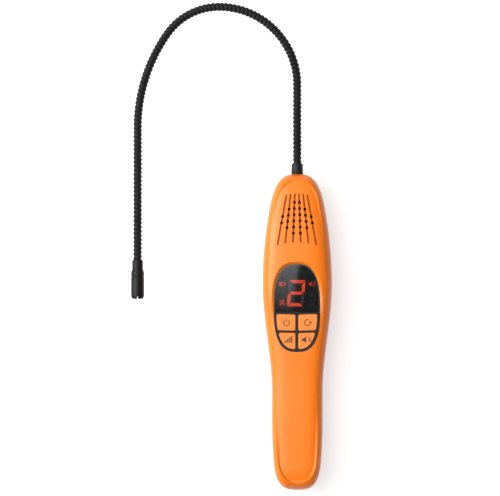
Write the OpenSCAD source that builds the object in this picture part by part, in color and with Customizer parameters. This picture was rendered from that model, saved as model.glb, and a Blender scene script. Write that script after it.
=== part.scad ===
// Hand-held refrigerant leak detector with a gooseneck probe, lying on its back.
// X runs across the handle, Y along it towards the gooseneck, Z out of the display.
// The origin is the middle of the handle's flat back. Millimetres.

/* [Handle outline] */
// Length of the handle without the gooseneck
body_len = 229; // [215:1:245]
// Width of the head, where it is widest
head_w = 50.4; // [48:0.2:56]
// Distance of the widest place from the top end
head_from_top = 80.5; // [70:0.5:88]
// Width at the shoulder above the sounder holes
shoulder_w = 35.8; // [34:0.2:40]
// Distance of the shoulder from the top end
shoulder_from_top = 14; // [12:0.5:18]
// Width of the grip
grip_w = 36.8; // [36:0.2:42]
// Distance from the tail end to where the grip starts to widen
grip_top_from_tail = 71; // [60:0.5:78]
// Distance from the tail end to where the grip starts to narrow
grip_end_from_tail = 50; // [38:0.5:54]
// Width that the narrowing tail would reach at its end
tail_w = 30.2; // [30:0.2:36]

/* [Handle depth] */
// Height of the front above the back at the display
head_z = 38; // [37.5:0.1:41]
// Height of the front at the grip
grip_z = 34.5; // [33:0.1:37]
// Height of the front at the top end
top_z = 36; // [35.5:0.1:38]
// Height of the parting plane and of the gooseneck's axis
part_z = 19; // [18.6:0.1:20]
// Wall of the two shells
wall = 2.2; // [1.8:0.1:2.6]

/* [Front relief] */
// Width of the raised rim beside the sunken faces
rim_w = 3.2; // [2.5:0.1:4]
// Width of the sloped step between rim and sunken face
step_w = 1.8; // [1:0.1:2]
// Depth of the thumb scoop at the tail
scoop_depth = 1.9; // [1:0.1:2.4]
// Depth of the sunken sounder face at the top
sounder_face_depth = 1.2; // [0.6:0.1:1.6]

/* [Panel and keys] */
// Width of the oval panel
panel_w = 33.5; // [32:0.1:35]
// Length of the oval panel
panel_len = 63.3; // [60:0.1:66]
// Distance of the panel's middle from the top end
panel_from_top = 97.3; // [94:0.1:101]
// Height of the panel's face above the back
panel_z = 35.6; // [35.2:0.1:36]
// Distance of the line between display and keys below the panel's middle
split_below = 3; // [1:0.1:5]
// Width of the key field's black border
key_border = 1.9; // [1.2:0.1:2]
// Gap between neighbouring keys
key_gap = 2; // [1.2:0.1:2.2]
// Height of the keys above the panel
key_proud = 0.8; // [0.7:0.1:1.2]
// Travel of a key
key_travel = 0.6; // [0.3:0.05:0.6]

/* [Sounder grille] */
// Number of grooves
groove_count = 6; // [4:2:8]
// Distance between grooves at their top ends
groove_pitch_top = 3; // [2.6:0.05:3.2]
// Distance between grooves at their lower ends
groove_pitch_low = 5.6; // [4.5:0.05:5.7]
// Distance of the grooves' top ends from the top end of the handle
groove_top_from_top = 14.5; // [13:0.5:17]
// Length of the middle grooves
groove_len = 35.5; // [30:0.5:38]
// Width of a groove
groove_w = 1.3; // [0.6:0.1:1.4]
// Diameter of a sound hole
sound_hole_d = 2.2; // [1:0.1:2.3]
// Distance between rows of sound holes
sound_row_pitch = 4.45; // [4:0.05:4.8]

/* [Gooseneck] */
// Outside diameter over the ribs
neck_d = 6.4; // [5.6:0.1:6.8]
// Depth of the helical groove between the ribs
neck_rib_depth = 0.7; // [0.5:0.05:1]
// Pitch of the ribs
neck_pitch = 3.06; // [2.5:0.02:4]
// Bore of the gooseneck
neck_bore = 3.4; // [3:0.1:3.6]
// Straight length above the handle
neck_rise = 65.1; // [55:0.1:80]
// Radius of the first bend
bend_r_1 = 57; // [50:1:70]
// Radius of the second bend
bend_r_2 = 46; // [40:1:60]
// Radius of the third bend
bend_r_3 = 119; // [100:1:130]
// Straight length down to the probe head
neck_drop = 96.6; // [80:0.1:110]

/* [Probe head] */
// Diameter of the sensor cap
cap_d = 9.5; // [9.2:0.1:11]
// Diameter of the holder's ferrule
ferrule_d = 7.9; // [7.8:0.1:8.6]
// Length of the sensor cap
cap_len = 16.2; // [15:0.1:18]
// Width of the cap's cross slots
cap_slot_w = 1; // [0.8:0.1:1.4]

/* [Battery bay] */
// Diameter of a cell
cell_d = 14.3; // [13.9:0.1:14.4]
// Length of a cell with its nub
cell_len = 50.5; // [49:0.1:50.6]
// Thickness of the battery door
door_t = 2; // [1.8:0.1:2.2]

/* [Hidden] */
$fn = 48;
// Overlap of joined solids, and overshoot of a cut
e = 0.05;
cut = 1;

// Places along the handle, worked out from its ends
top_y = body_len / 2;
tail_y = -body_len / 2;
head_y = top_y - head_from_top;
shoulder_y = top_y - shoulder_from_top;
grip_top_y = tail_y + grip_top_from_tail;
grip_end_y = tail_y + grip_end_from_tail;
panel_y = top_y - panel_from_top;

// Form of the handle's sections and ends
front_power = 4;
back_power = 5;
outline_power = 3.4;
end_power = 2.6;
back_sink = 2;
top_reach = 26.5;
tail_reach = 24.5;
top_front_reach = 15;
top_back_reach = 36;
tail_front_reach = 20;
tail_back_reach = 24;
top_land = 5;
tail_land = 4;

// Clearances
fit = 0.1;
slide_fit = 0.2;
key_fit = 0.15;

// Places of the sunken faces on the front
scoop_end_rim = 4.2;
scoop_end_step = 3.6;
scoop_fade = 68;
sounder_end_rim = 4.4;
sounder_end_step = 3;
sounder_fade = 54;
sounder_reach = 16;
sounder_lead = 0.8;
scoop_reach = 17;
scoop_lead = 1.2;
face_land = 0.3;

function clamp01(t) = max(0, min(1, t));
function smooth(t) = let (u = clamp01(t)) u * u * (3 - 2 * u);
function round_in(d, n = end_power) = d >= 1 ? 1 : pow(1 - pow(1 - max(d, 0), n), 1 / n);
function end_round(y, top, tail, n = end_power) =
    min(round_in((top_y - y) / top, n), round_in((y - tail_y) / tail, n));
function land_at(y) = y > 0 ? top_land : tail_land;

// Half width of the outline, before and after its ends are rounded
function spine_w(y) =
    y >= head_y
    ? head_w / 2 - (head_w - shoulder_w) / 2 * pow((y - head_y) / (shoulder_y - head_y), 2)
    : y >= grip_end_y
    ? grip_w / 2 + (head_w - grip_w) / 2 * smooth((y - grip_top_y) / (head_y - grip_top_y))
    : grip_w / 2 - (grip_w - tail_w) / 2 * pow((grip_end_y - y) / (grip_end_y - tail_y), 2);
function half_w(y) = max(land_at(y), spine_w(y) * end_round(y, top_reach, tail_reach, outline_power));

// Height of the front crest and depth of the back, from the parting plane
function crest_z(y) =
    y >= head_y
    ? head_z - (head_z - top_z) * pow((y - head_y) / (top_y - head_y), 2)
    : grip_z + (head_z - grip_z) * smooth((y - grip_top_y) / (head_y - grip_top_y));
function front_h(y) =
    max(land_at(y), (crest_z(y) - part_z) * end_round(y, top_front_reach, tail_front_reach));
function back_h(y) =
    max(land_at(y), (part_z + back_sink) * end_round(y, top_back_reach, tail_back_reach));

// Depth and half width of the sunken faces
function relief(y) =
    scoop_depth * smooth((y - tail_y - scoop_end_rim) / scoop_end_step)
        * (1 - smooth((y - tail_y - scoop_end_rim) / scoop_fade))
    + sounder_face_depth * smooth((top_y - sounder_end_rim - y) / sounder_end_step)
        * (1 - smooth((top_y - sounder_end_rim - y) / sounder_fade));
function face_w(y) =
    let (d = min(
        (top_y - sounder_end_rim - sounder_lead - y) / sounder_reach,
        (y - tail_y - scoop_end_rim - scoop_lead) / scoop_reach
    ))
    max(step_w + face_land, min((spine_w(y) - rim_w) * round_in(d), half_w(y) - rim_w));

function over(x, a, h, n) = h * pow(max(0, 1 - pow(min(1, abs(x) / a), n)), 1 / n);
function front_z(x, y) =
    part_z + over(x, half_w(y), front_h(y), front_power)
    - relief(y) * smooth((face_w(y) - abs(x)) / step_w);
function back_z(x, y) = max(0, part_z - over(x, half_w(y), back_h(y), back_power));

// Stations along the handle, closer together at its ends
end_steps = [0, 0.4, 1.2, 2.4, 4.2, 6, 7.8, 10, 13, 17];
middle_steps = 22;
function stations(inset) =
    let (
        ends = [for (d = end_steps) inset + d],
        last = ends[len(ends) - 1],
        low = tail_y + last,
        high = top_y - last
    )
    concat(
        [for (d = ends) tail_y + d],
        [for (i = [1:middle_steps - 1]) low + (high - low) * i / middle_steps],
        [for (i = [len(ends) - 1:-1:0]) top_y - ends[i]]
    );

// Columns of the front's section, from the middle to the parting edge
face_cols = 5;
step_cols = 3;
side_cols = 7;
inner_cols = 6;
back_cols = 10;
back_inner_cols = 7;
inner_land = top_land - 2;
function front_half(y) =
    let (
        a = half_w(y),
        h = front_h(y),
        inner = face_w(y),
        start = asin(pow(inner / a, front_power / 2))
    )
    concat(
        [for (k = [0:face_cols]) let (x = (inner - step_w) * k / face_cols) [x, front_z(x, y)]],
        [for (k = [1:step_cols]) let (x = inner - step_w * (1 - k / step_cols)) [x, front_z(x, y)]],
        [for (k = [1:side_cols]) let (t = start + (90 - start) * k / side_cols)
            [a * pow(sin(t), 2 / front_power), part_z + h * pow(max(0, cos(t)), 2 / front_power)]]
    );
function plain_half(a, h, n, cols, up) =
    [for (k = [0:cols]) let (t = 90 * k / cols)
        [a * pow(sin(t), 2 / n), part_z + up * h * pow(max(0, cos(t)), 2 / n)]];

function front_inner_half(y) =
    plain_half(max(inner_land, half_w(y) - wall), max(inner_land, front_h(y) - wall - relief(y)),
        front_power, inner_cols, 1);
function back_half(y) = plain_half(half_w(y), back_h(y), back_power, back_cols, -1);
function back_inner_half(y) =
    plain_half(max(inner_land, half_w(y) - wall), max(inner_land, min(back_h(y), part_z) - wall),
        back_power, back_inner_cols, -1);

// A whole section from the right parting edge over to the left one
function section(half, y) =
    let (n = len(half) - 1)
    concat(
        [for (k = [n:-1:0]) [half[k][0], y, half[k][1]]],
        [for (k = [1:n]) [-half[k][0], y, half[k][1]]]
    );

// Joins an outer and an inner surface, both grids of rows, into one half shell.
// The rows run from the tail to the top, and the flip turns the faces for the back shell.
module half_shell(outer, inner, flip) {
    rows = len(outer);
    no = len(outer[0]);
    ni = len(inner[0]);
    base = rows * no;
    points = concat([for (r = outer) each r], [for (r = inner) each r]);
    function o(i, j) = i * no + j;
    function n(i, j) = base + i * ni + j;
    raw = concat(
        [for (i = [0:rows - 2], j = [0:no - 2]) each [
            [o(i, j), o(i, j + 1), o(i + 1, j + 1)], [o(i, j), o(i + 1, j + 1), o(i + 1, j)]]],
        [for (i = [0:rows - 2], j = [0:ni - 2]) each [
            [n(i, j), n(i + 1, j + 1), n(i, j + 1)], [n(i, j), n(i + 1, j), n(i + 1, j + 1)]]],
        [[for (j = [no - 1:-1:0]) o(0, j)], [for (j = [0:no - 1]) o(rows - 1, j)]],
        [[for (j = [0:ni - 1]) n(0, j)], [for (j = [ni - 1:-1:0]) n(rows - 1, j)]],
        [for (i = [0:rows - 2]) each [
            [o(i, 0), o(i + 1, 0), n(i + 1, 0), n(i, 0)],
            [o(i, no - 1), n(i, ni - 1), n(i + 1, ni - 1), o(i + 1, no - 1)]]],
        [[o(0, 0), n(0, 0), n(0, ni - 1), o(0, no - 1)],
         [o(rows - 1, 0), o(rows - 1, no - 1), n(rows - 1, ni - 1), n(rows - 1, 0)]]
    );
    polyhedron(points, flip ? [for (f = raw) [for (k = [len(f) - 1:-1:0]) f[k]]] : raw, convexity = 10);
}

// A swept tube through rings of points, with flat ends
module tube(rings) {
    n = len(rings[0]);
    m = len(rings);
    polyhedron(
        [for (r = rings) each r],
        concat(
            [for (i = [0:m - 2], j = [0:n - 1]) let (k = (j + 1) % n) each [
                [i * n + j, i * n + k, (i + 1) * n + k], [i * n + j, (i + 1) * n + k, (i + 1) * n + j]]],
            [[for (j = [n - 1:-1:0]) j], [for (j = [0:n - 1]) (m - 1) * n + j]]
        ),
        convexity = 10
    );
}

// Oval outlines of the panel
oval_power = 2.7;
oval_sides = 72;
function oval(a, b) =
    [for (i = [0:oval_sides - 1]) let (t = 360 * i / oval_sides)
        [a * sign(cos(t)) * pow(abs(cos(t)), 2 / oval_power),
         b * sign(sin(t)) * pow(abs(sin(t)), 2 / oval_power)]];
panel_a = panel_w / 2;
panel_b = panel_len / 2;
module panel_oval(grow) {
    translate([0, panel_y]) polygon(oval(panel_a + grow, panel_b + grow));
}
module oval_block(grow, z0, z1) {
    translate([0, 0, z0]) linear_extrude(z1 - z0) panel_oval(grow);
}
// The sloped ring round the panel, of even width up to the front's surface
module panel_slope() {
    low = oval(panel_a - slope_start, panel_b - slope_start);
    edge = oval(panel_a + slope_w, panel_b + slope_w);
    tube([
        [for (p = edge) [p[0], panel_y + p[1], panel_z + opening_h]],
        [for (p = edge) let (y = panel_y + p[1]) [p[0], y, front_z(p[0], y)]],
        [for (p = low) [p[0], panel_y + p[1], panel_z - slope_start]]
    ]);
}

// Heights of the panel's stack
bezel_t = 1.4;
seat_z = panel_z - bezel_t;
lens_t = 1.1;
board_t = 1.6;
module_face_gap = 0.35;
segment_t = 0.25;
display_top_z = panel_z - lens_t - module_face_gap - segment_t;
key_flange_t = 0.9;
key_flange_top_z = seat_z - slide_fit;
stem_len = 0.8;
switch_h = 3.5;
stem_bottom_z = key_flange_top_z - key_flange_t - stem_len;
switch_top_z = stem_bottom_z - key_travel - fit;
board_top_z = switch_top_z - switch_h;
seat_ring_grow = 1.5;
seat_lip = 0.9;
seat_ring_t = 1.7;
seat_ring_low_z = seat_z - seat_ring_t;
seat_ring_top_z = panel_z + bezel_t;
opening_h = 6;
slope_w = 1.8;
slope_start = 0.3;

// Case screws, and the bosses that take them
screw_r = 1.5;
screw_head_r = 2.7;
screw_head_h = 2;
screw_seat_z = 8;
screw_bite = 9;
screw_tip_z = part_z + screw_bite;
screw_cross_len = 3;
screw_cross_w = 0.7;
screw_cross_depth = 1;
boss_r = 3.1;
seat_boss_r = 3.9;
boss_sink = 0.8;
tail_screw_from_tail = 13.5;
screw_inset = 6.2;
screw_inset_top = 5.8;
screw_top_from_top = 17.5;
screw_mid_from_top = 96;
case_screws_at = [
    [shoulder_w / 2 - screw_inset_top, top_y - screw_top_from_top],
    [screw_inset_top - shoulder_w / 2, top_y - screw_top_from_top],
    [head_w / 2 - screw_inset, top_y - screw_mid_from_top],
    [screw_inset - head_w / 2, top_y - screw_mid_from_top],
    [0, tail_y + tail_screw_from_tail]
];

// Main board and the posts that carry it
board_half_w = 15.5;
board_below = 34.5;
board_above = 37;
board_low_y = panel_y - board_below;
board_high_y = panel_y + board_above;
board_post_inset = 2.2;
board_posts_at = [
    for (x = [-1, 1], y = [board_low_y + board_post_inset, board_high_y - board_post_inset])
        [x * (board_half_w - board_post_inset), y]
];
post_r = 2;
post_sink = 1.2;
board_screw_r = 0.9;
board_screw_bite = 3.5;
board_screw_head_r = 1.7;
board_screw_head_h = 1.3;

// Sounder behind the grooves
sounder_from_top = 32.5;
sounder_y = top_y - sounder_from_top;
sounder_r = 14;
sounder_below_top = 3.4;
sounder_front_z = top_z - sounder_below_top;
sounder_ring_t = 1.2;
sounder_ring_top_z = top_z - sounder_ring_t;
sounder_frame_h = 5;
sounder_magnet_h = 4;

// Suction fan behind the sounder
fan_from_top = 38;
fan_y = top_y - fan_from_top;
fan_half = 14;
fan_low_z = 5;
fan_h = 11;
fan_bore_r = 12.6;
fan_rotor_r = 11.8;
fan_motor_r = 4.2;
fan_shaft_r = 1;

// Gooseneck seat in the top end
boot_hole_r = 3.9;
boot_base_r = 4.3;
boot_top_r = 4.05;
boot_len = 7.6;
boot_flange_r = 5.6;
boot_flange_t = 2;
ferrule_r = 4.4;
ferrule_len = 10;
nut_r = 6.6;
nut_t = 4;
end_wall_in_y = top_y - wall;
ferrule_top_y = end_wall_in_y - fit - boot_flange_t - fit;
cradle_t = 2;
cradle_half = 9;
cradle_sink = 1;
ferrule_stand = 0.6;
cradle_y = ferrule_top_y - ferrule_len + ferrule_stand;

// Battery bay
cell_gap = 0.3;
bay_half_w = cell_d + 1.5 * cell_gap;
bay_wall = 1.3;
bay_from_tail = 20;
bay_low_y = tail_y + bay_from_tail;
contact_t = 0.5;
spring_len = 4;
bay_len = 2 * cell_len + spring_len + 2 * contact_t + cell_gap;
bay_high_y = bay_low_y + bay_len;
door_gap = slide_fit;
cell_z = door_t + door_gap + cell_gap + cell_d / 2;
bay_top_z = cell_z + cell_d / 2 + cell_gap;
bay_roof_t = 1.4;
door_inset = 0.4;
door_half_w = bay_half_w - door_inset;
door_tongue = 0.9;
door_tongue_z = 1.1;
door_lap = 1.5;
door_high_y = bay_high_y + door_lap;
door_overrun = 5;
door_run = door_high_y - tail_y + door_overrun;

// Thumb grooves across the door, each shorter than the one below it
thumb_grooves = 5;
thumb_from_tail = 34;
thumb_pitch = 2.2;
thumb_len = 16;
thumb_taper = 0.8;
thumb_w = 1;
thumb_depth = 0.5;

// Gooseneck route: a rise, three bends to the left and a drop
neck_insert = 14;
neck_tip_insert = 5;
bend_angles = [90, 55, 35];
bend_radii = [bend_r_1, bend_r_2, bend_r_3];
neck_legs = concat(
    [[neck_insert + neck_rise, 0]],
    [for (i = [0:2]) [bend_radii[i] * bend_angles[i] * PI / 180, bend_radii[i]]],
    [[neck_drop + neck_tip_insert, 0]]
);
neck_start_y = top_y - neck_insert;
// Moves a distance d from a place [x, y, heading], straight or turning left
function ahead(p, d, r) =
    r == 0
    ? [p[0] + d * cos(p[2]), p[1] + d * sin(p[2]), p[2]]
    : let (t = p[2] + d / r * 180 / PI)
      [p[0] + r * (sin(t) - sin(p[2])), p[1] - r * (cos(t) - cos(p[2])), t];
function neck_at(s, p = [0, neck_start_y, 90], k = 0) =
    s <= neck_legs[k][0] || k == len(neck_legs) - 1
    ? ahead(p, s, neck_legs[k][1])
    : neck_at(s - neck_legs[k][0], ahead(p, neck_legs[k][0], neck_legs[k][1]), k + 1);
function leg_sum(k) = k < 0 ? 0 : neck_legs[k][0] + leg_sum(k - 1);
neck_len = leg_sum(4);

// Places along the gooseneck where it bends, and the gap that each bend needs
root_free = 17;
bends_at = [neck_insert + root_free, leg_sum(0), leg_sum(1), leg_sum(2) + neck_legs[3][0] / 2];
bend_gap = 1.4;
neck_cuts = concat([-bend_gap / 2], bends_at, [neck_len + bend_gap / 2]);

// Rings round the gooseneck's route
neck_sides = 8;
rings_per_pitch = 3;
bore_ring_step = 6;
function neck_ring(s, r0, amp) =
    let (p = neck_at(s))
    [for (j = [0:neck_sides - 1]) let (
            t = -360 * j / neck_sides,
            r = r0 + amp * cos(360 * s / neck_pitch - t)
        )
        [p[0] - r * cos(t) * sin(p[2]), p[1] + r * cos(t) * cos(p[2]), part_z + r * sin(t)]];
function spread(s0, s1, step) =
    let (n = max(1, round((s1 - s0) / step))) [for (i = [0:n]) s0 + (s1 - s0) * i / n];

// One length of gooseneck, ribbed outside and hollow
module neck_length(k) {
    s0 = neck_cuts[k] + bend_gap / 2;
    s1 = neck_cuts[k + 1] - bend_gap / 2;
    mid_r = neck_d / 2 - neck_rib_depth / 2;
    outer = [for (s = spread(s0, s1, neck_pitch / rings_per_pitch))
        neck_ring(s, mid_r, neck_rib_depth / 2)];
    inner = [for (s = spread(s0, s1, bore_ring_step)) neck_ring(s, neck_bore / 2, 0)];
    n = neck_sides;
    mo = len(outer);
    mi = len(inner);
    b = mo * n;
    function next(j) = (j + 1) % n;
    color([0.05, 0.05, 0.055])
    polyhedron(
        concat([for (r = outer) each r], [for (r = inner) each r]),
        concat(
            [for (i = [0:mo - 2], j = [0:n - 1]) let (k2 = next(j)) each [
                [i * n + j, i * n + k2, (i + 1) * n + k2], [i * n + j, (i + 1) * n + k2, (i + 1) * n + j]]],
            [for (i = [0:mi - 2], j = [0:n - 1]) let (k2 = next(j)) each [
                [b + i * n + j, b + (i + 1) * n + k2, b + i * n + k2],
                [b + i * n + j, b + (i + 1) * n + j, b + (i + 1) * n + k2]]],
            [for (j = [0:n - 1]) let (k2 = next(j)) each [[j, b + j, b + k2], [j, b + k2, k2]]],
            [for (j = [0:n - 1]) let (k2 = next(j), o = (mo - 1) * n, q = b + (mi - 1) * n) each [
                [o + j, q + k2, q + j], [o + j, o + k2, q + k2]]]
        ),
        convexity = 10
    );
}

// Probe head, along -Y from the end of the gooseneck's drop
head_at = neck_at(neck_len - neck_tip_insert);
holder_len = 12;
holder_ferrule_len = 6.2;
holder_flare_len = 3.4;
cap_wall = 0.7;
cap_end_t = 1.6;
cap_edge_r = 2.1;
cap_slot_depth = 3.2;
spigot_len = 6;
spigot_r = cap_d / 2 - cap_wall - fit;
seal_r = 0.33;
seal_proud = 0.06;
seal_floor_gap = 0.02;
seal_groove_depth = 2 * seal_r - seal_proud + seal_floor_gap;
seal_groove_w = 1.4;
seal_from_shoulder = 2;
seal_low = holder_len + seal_from_shoulder;
sensor_r = 2.6;
socket_r = 3;
socket_len = 3;
lead_d = 2;
lead_r = lead_d / 2;
lead_gap = 0.3;
module at_head(down) {
    translate([head_at[0], head_at[1] - down, part_z]) rotate([90, 0, 0]) children();
}

orange = [0.98, 0.47, 0.12];
dark = [0.06, 0.06, 0.065];
brass = [0.75, 0.6, 0.3];
steel = [0.72, 0.73, 0.75];

module along_y(y0, y1, r0, r1 = undef) {
    translate([0, y0, part_z]) rotate([-90, 0, 0])
        cylinder(h = y1 - y0, r1 = r0, r2 = is_undef(r1) ? r0 : r1);
}
module post(p, z0, z1, r) {
    translate([p[0], p[1], z0]) cylinder(h = z1 - z0, r = r);
}

// A plate across the handle that carries the ferrule, cut round its seat
module cradle(z0, z1) {
    translate([-cradle_half, cradle_y, z0]) cube([2 * cradle_half, cradle_t, z1 - z0]);
}

groove_fall_top = 0.16;
groove_fall_low = 0.3;
groove_depth = 1;
groove_cut_h = 4;
function groove_place(i) = i - (groove_count - 1) / 2;
function groove_top(i) = let (k = groove_place(i))
    [k * groove_pitch_top, top_y - groove_top_from_top - groove_fall_top * k * k];
function groove_low(i) = let (k = groove_place(i))
    [k * groove_pitch_low, top_y - groove_top_from_top - groove_len - groove_fall_low * k * k];
function on_groove(i, t) = groove_top(i) + (groove_low(i) - groove_top(i)) * t;
function sunk(p, d) = [p[0], p[1], front_z(p[0], p[1]) - d];

// One groove, its floor straight between its two ends
module groove(i) {
    p = sunk(groove_top(i), groove_depth);
    q = sunk(groove_low(i), groove_depth);
    d = q - p;
    flat = norm([d[0], d[1]]);
    translate(p) rotate([0, -atan2(d[2], flat), 0] + [0, 0, atan2(d[1], d[0])]) {
        translate([0, -groove_w / 2, 0]) cube([norm(d), groove_w, groove_cut_h]);
        cylinder(h = groove_cut_h, d = groove_w);
        translate([norm(d), 0, 0]) cylinder(h = groove_cut_h, d = groove_w);
    }
}
// Sound holes: the middle grooves have the longest rows
sound_rows = 6;
sound_first_from_top = 6.4;
sound_hole_depth = 12;
function row_share(row) = (sound_first_from_top + row * sound_row_pitch) / groove_len;
module sound_holes() {
    for (i = [0:groove_count - 1]) {
        out = floor(abs(groove_place(i)));
        for (row = [out:sound_rows - 1 - out]) {
            p = on_groove(i, row_share(row));
            translate([p[0], p[1], sounder_front_z]) cylinder(h = sound_hole_depth, d = sound_hole_d);
        }
    }
}

module front_shell() {
    outer = [for (y = stations(0)) section(front_half(y), y)];
    inner = [for (y = stations(wall)) section(front_inner_half(y), y)];
    color(orange) difference() {
        union() {
            half_shell(outer, inner, false);
            oval_block(seat_ring_grow, seat_ring_low_z, seat_ring_top_z);
            for (p = case_screws_at)
                post(p, part_z + fit, front_z(abs(p[0]) + boss_r, p[1]) - boss_sink, boss_r);
            for (p = board_posts_at)
                post(p, board_top_z + e, front_z(p[0], p[1]) - post_sink, post_r);
            difference() {
                post([0, sounder_y], sounder_front_z - sounder_frame_h / 2, sounder_ring_top_z,
                    sounder_r + fit + sounder_ring_t);
                post([0, sounder_y], sounder_front_z - sounder_frame_h, sounder_ring_top_z + cut,
                    sounder_r + fit);
            }
            cradle(part_z + fit, front_z(cradle_half, cradle_y + cradle_t) - cradle_sink);
        }
        oval_block(fit, seat_z, panel_z + opening_h);
        oval_block(-seat_lip, seat_ring_low_z - cut, seat_z + bezel_t / 2);
        panel_slope();
        for (i = [0:groove_count - 1]) groove(i);
        sound_holes();
        along_y(end_wall_in_y - cut, top_y + cut, boot_hole_r);
        along_y(cradle_y - cut, cradle_y + cradle_t + cut, ferrule_r + fit);
        for (p = case_screws_at) post(p, part_z - cut, screw_tip_z + cut, screw_r + e);
        for (p = board_posts_at)
            post(p, board_top_z - cut, board_top_z + board_screw_bite + cut / 2, board_screw_r + e);
    }
}

module rear_shell() {
    outer = [for (y = stations(0)) section(back_half(y), y)];
    inner = [for (y = stations(wall)) section(back_inner_half(y), y)];
    color(orange) difference() {
        union() {
            half_shell(outer, inner, true);
            translate([-bay_half_w - bay_wall, bay_low_y - bay_wall, wall / 2]) cube([
                2 * (bay_half_w + bay_wall), bay_len + 2 * bay_wall, bay_top_z + bay_roof_t - wall / 2
            ]);
            for (p = case_screws_at)
                post(p, back_z(abs(p[0]) + seat_boss_r, p[1]) + boss_sink, part_z, seat_boss_r);
            cradle(back_z(cradle_half, cradle_y + cradle_t) + cradle_sink, part_z);
        }
        translate([-head_w, tail_y - part_z, -part_z]) cube([2 * head_w, body_len + 2 * part_z, part_z]);
        translate([-bay_half_w, bay_low_y, -cut]) cube([2 * bay_half_w, bay_len, bay_top_z + cut]);
        translate([-door_half_w - door_gap, tail_y - door_overrun, -cut])
            cube([2 * (door_half_w + door_gap), door_run + door_gap, door_t + door_gap + cut]);
        translate([-door_half_w - door_tongue - door_gap, tail_y - door_overrun, door_tongue_z - door_gap])
            cube([
                2 * (door_half_w + door_tongue + door_gap), door_run + door_gap,
                door_t + 2 * door_gap - door_tongue_z
            ]);
        along_y(end_wall_in_y - cut, top_y + cut, boot_hole_r);
        along_y(cradle_y - cut, cradle_y + cradle_t + cut, ferrule_r + fit);
        for (p = case_screws_at) {
            post(p, -cut, screw_seat_z, screw_head_r + slide_fit);
            post(p, screw_seat_z - cut, part_z + cut, screw_r + slide_fit);
        }
    }
}

// The door is a plate with side tongues, trimmed to the tail's outer form
module battery_door() {
    color(orange) difference() {
        intersection() {
            tube([for (y = stations(0)) let (s = section(back_half(y), y))
                [for (k = [len(s) - 1:-1:0]) s[k]]]);
            union() {
                translate([-door_half_w, tail_y - door_overrun, 0])
                    cube([2 * door_half_w, door_run, door_t]);
                translate([-door_half_w - door_tongue, tail_y - door_overrun, door_tongue_z])
                    cube([2 * (door_half_w + door_tongue), door_run, door_t - door_tongue_z]);
            }
        }
        for (i = [0:thumb_grooves - 1])
            translate([i * thumb_taper - thumb_len / 2, tail_y + thumb_from_tail + i * thumb_pitch, -cut])
                cube([thumb_len - 2 * i * thumb_taper, thumb_w, thumb_depth + cut]);
    }
}

module case_screws() {
    color(steel) for (p = case_screws_at) difference() {
        union() {
            post(p, screw_seat_z - screw_head_h, screw_seat_z, screw_head_r);
            post(p, screw_seat_z - e, screw_tip_z, screw_r);
        }
        for (a = [0, 90])
            translate([p[0], p[1], screw_seat_z - screw_head_h]) rotate([0, 0, a])
                cube([screw_cross_len, screw_cross_w, 2 * screw_cross_depth], center = true);
    }
}

split_y = panel_y - split_below;
panel_seam = 0.1;
module below_split(gap) {
    translate([-panel_w, split_y - gap - panel_len]) square([2 * panel_w, panel_len]);
}
module display_lens() {
    color([0.08, 0.08, 0.09]) translate([0, 0, panel_z - lens_t]) linear_extrude(lens_t) difference() {
        panel_oval(0);
        below_split(-panel_seam / 2);
    }
}

// Outline of one key: a quarter of the key field, its edges leaning a little
key_tilt = 1.5;
key_reach = panel_w;
key_row_gap = 0.8 * key_gap;
key_corner = 1.3;
key_top_border = 1.4;
key_row_h = 11.7;
key_row_drop = 0.3;
key_mid_y = split_y - key_top_border - key_row_h - key_row_drop;
key_side = [-1, 1, -1, 1];
key_row = [1, 1, 0, 0];
module key_outline(k, grow) {
    low = key_row[k] == 1 ? 0 : -panel_len / 2;
    high = key_row[k] == 1 ? key_row_h : -key_row_gap;
    offset(r = key_corner + grow, $fn = 24) offset(delta = -key_corner) intersection() {
        panel_oval(-key_border);
        translate([0, key_mid_y])
        multmatrix([[1, 0, 0, 0], [key_side[k] * tan(key_tilt), 1, 0, 0], [0, 0, 1, 0], [0, 0, 0, 1]])
            translate([key_side[k] > 0 ? key_gap / 2 : -key_reach, low])
                square([key_reach - key_gap / 2, high - low]);
    }
}
key_stem_at = [[-7.6, 5.9], [7.6, 5.9], [-6.6, -6.4], [6.6, -6.4]];
function stem_place(k) = [key_stem_at[k][0], key_mid_y + key_stem_at[k][1]];
stem_r = 1.5;
plunger_r = 1.7;
plunger_depth = 1.8;
switch_w = 6;
key_flange = 0.35;
module key(k) {
    color([1, 0.6, 0.24]) {
        translate([0, 0, key_flange_top_z - e]) linear_extrude(panel_z + key_proud - key_flange_top_z + e)
            key_outline(k, 0);
        translate([0, 0, key_flange_top_z - key_flange_t]) linear_extrude(key_flange_t) intersection() {
            key_outline(k, key_flange);
            panel_oval(-seat_lip - slide_fit);
        }
        post(stem_place(k), stem_bottom_z, key_flange_top_z, stem_r);
    }
}
module plunger(k) {
    color([0.2, 0.2, 0.2]) post(stem_place(k), switch_top_z - plunger_depth, stem_bottom_z, plunger_r);
}
module switch_bodies() {
    color([0.12, 0.12, 0.12]) for (k = [0:3]) let (p = stem_place(k)) difference() {
        translate([p[0] - switch_w / 2, p[1] - switch_w / 2, board_top_z])
            cube([switch_w, switch_w, switch_h]);
        post(p, switch_top_z - plunger_depth - key_travel - fit, switch_top_z + cut, plunger_r + e);
    }
}
module keypad_bezel() {
    color(dark) translate([0, 0, seat_z]) linear_extrude(bezel_t) difference() {
        intersection() {
            panel_oval(0);
            below_split(panel_seam / 2);
        }
        for (k = [0:3]) key_outline(k, key_fit);
    }
}

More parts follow.
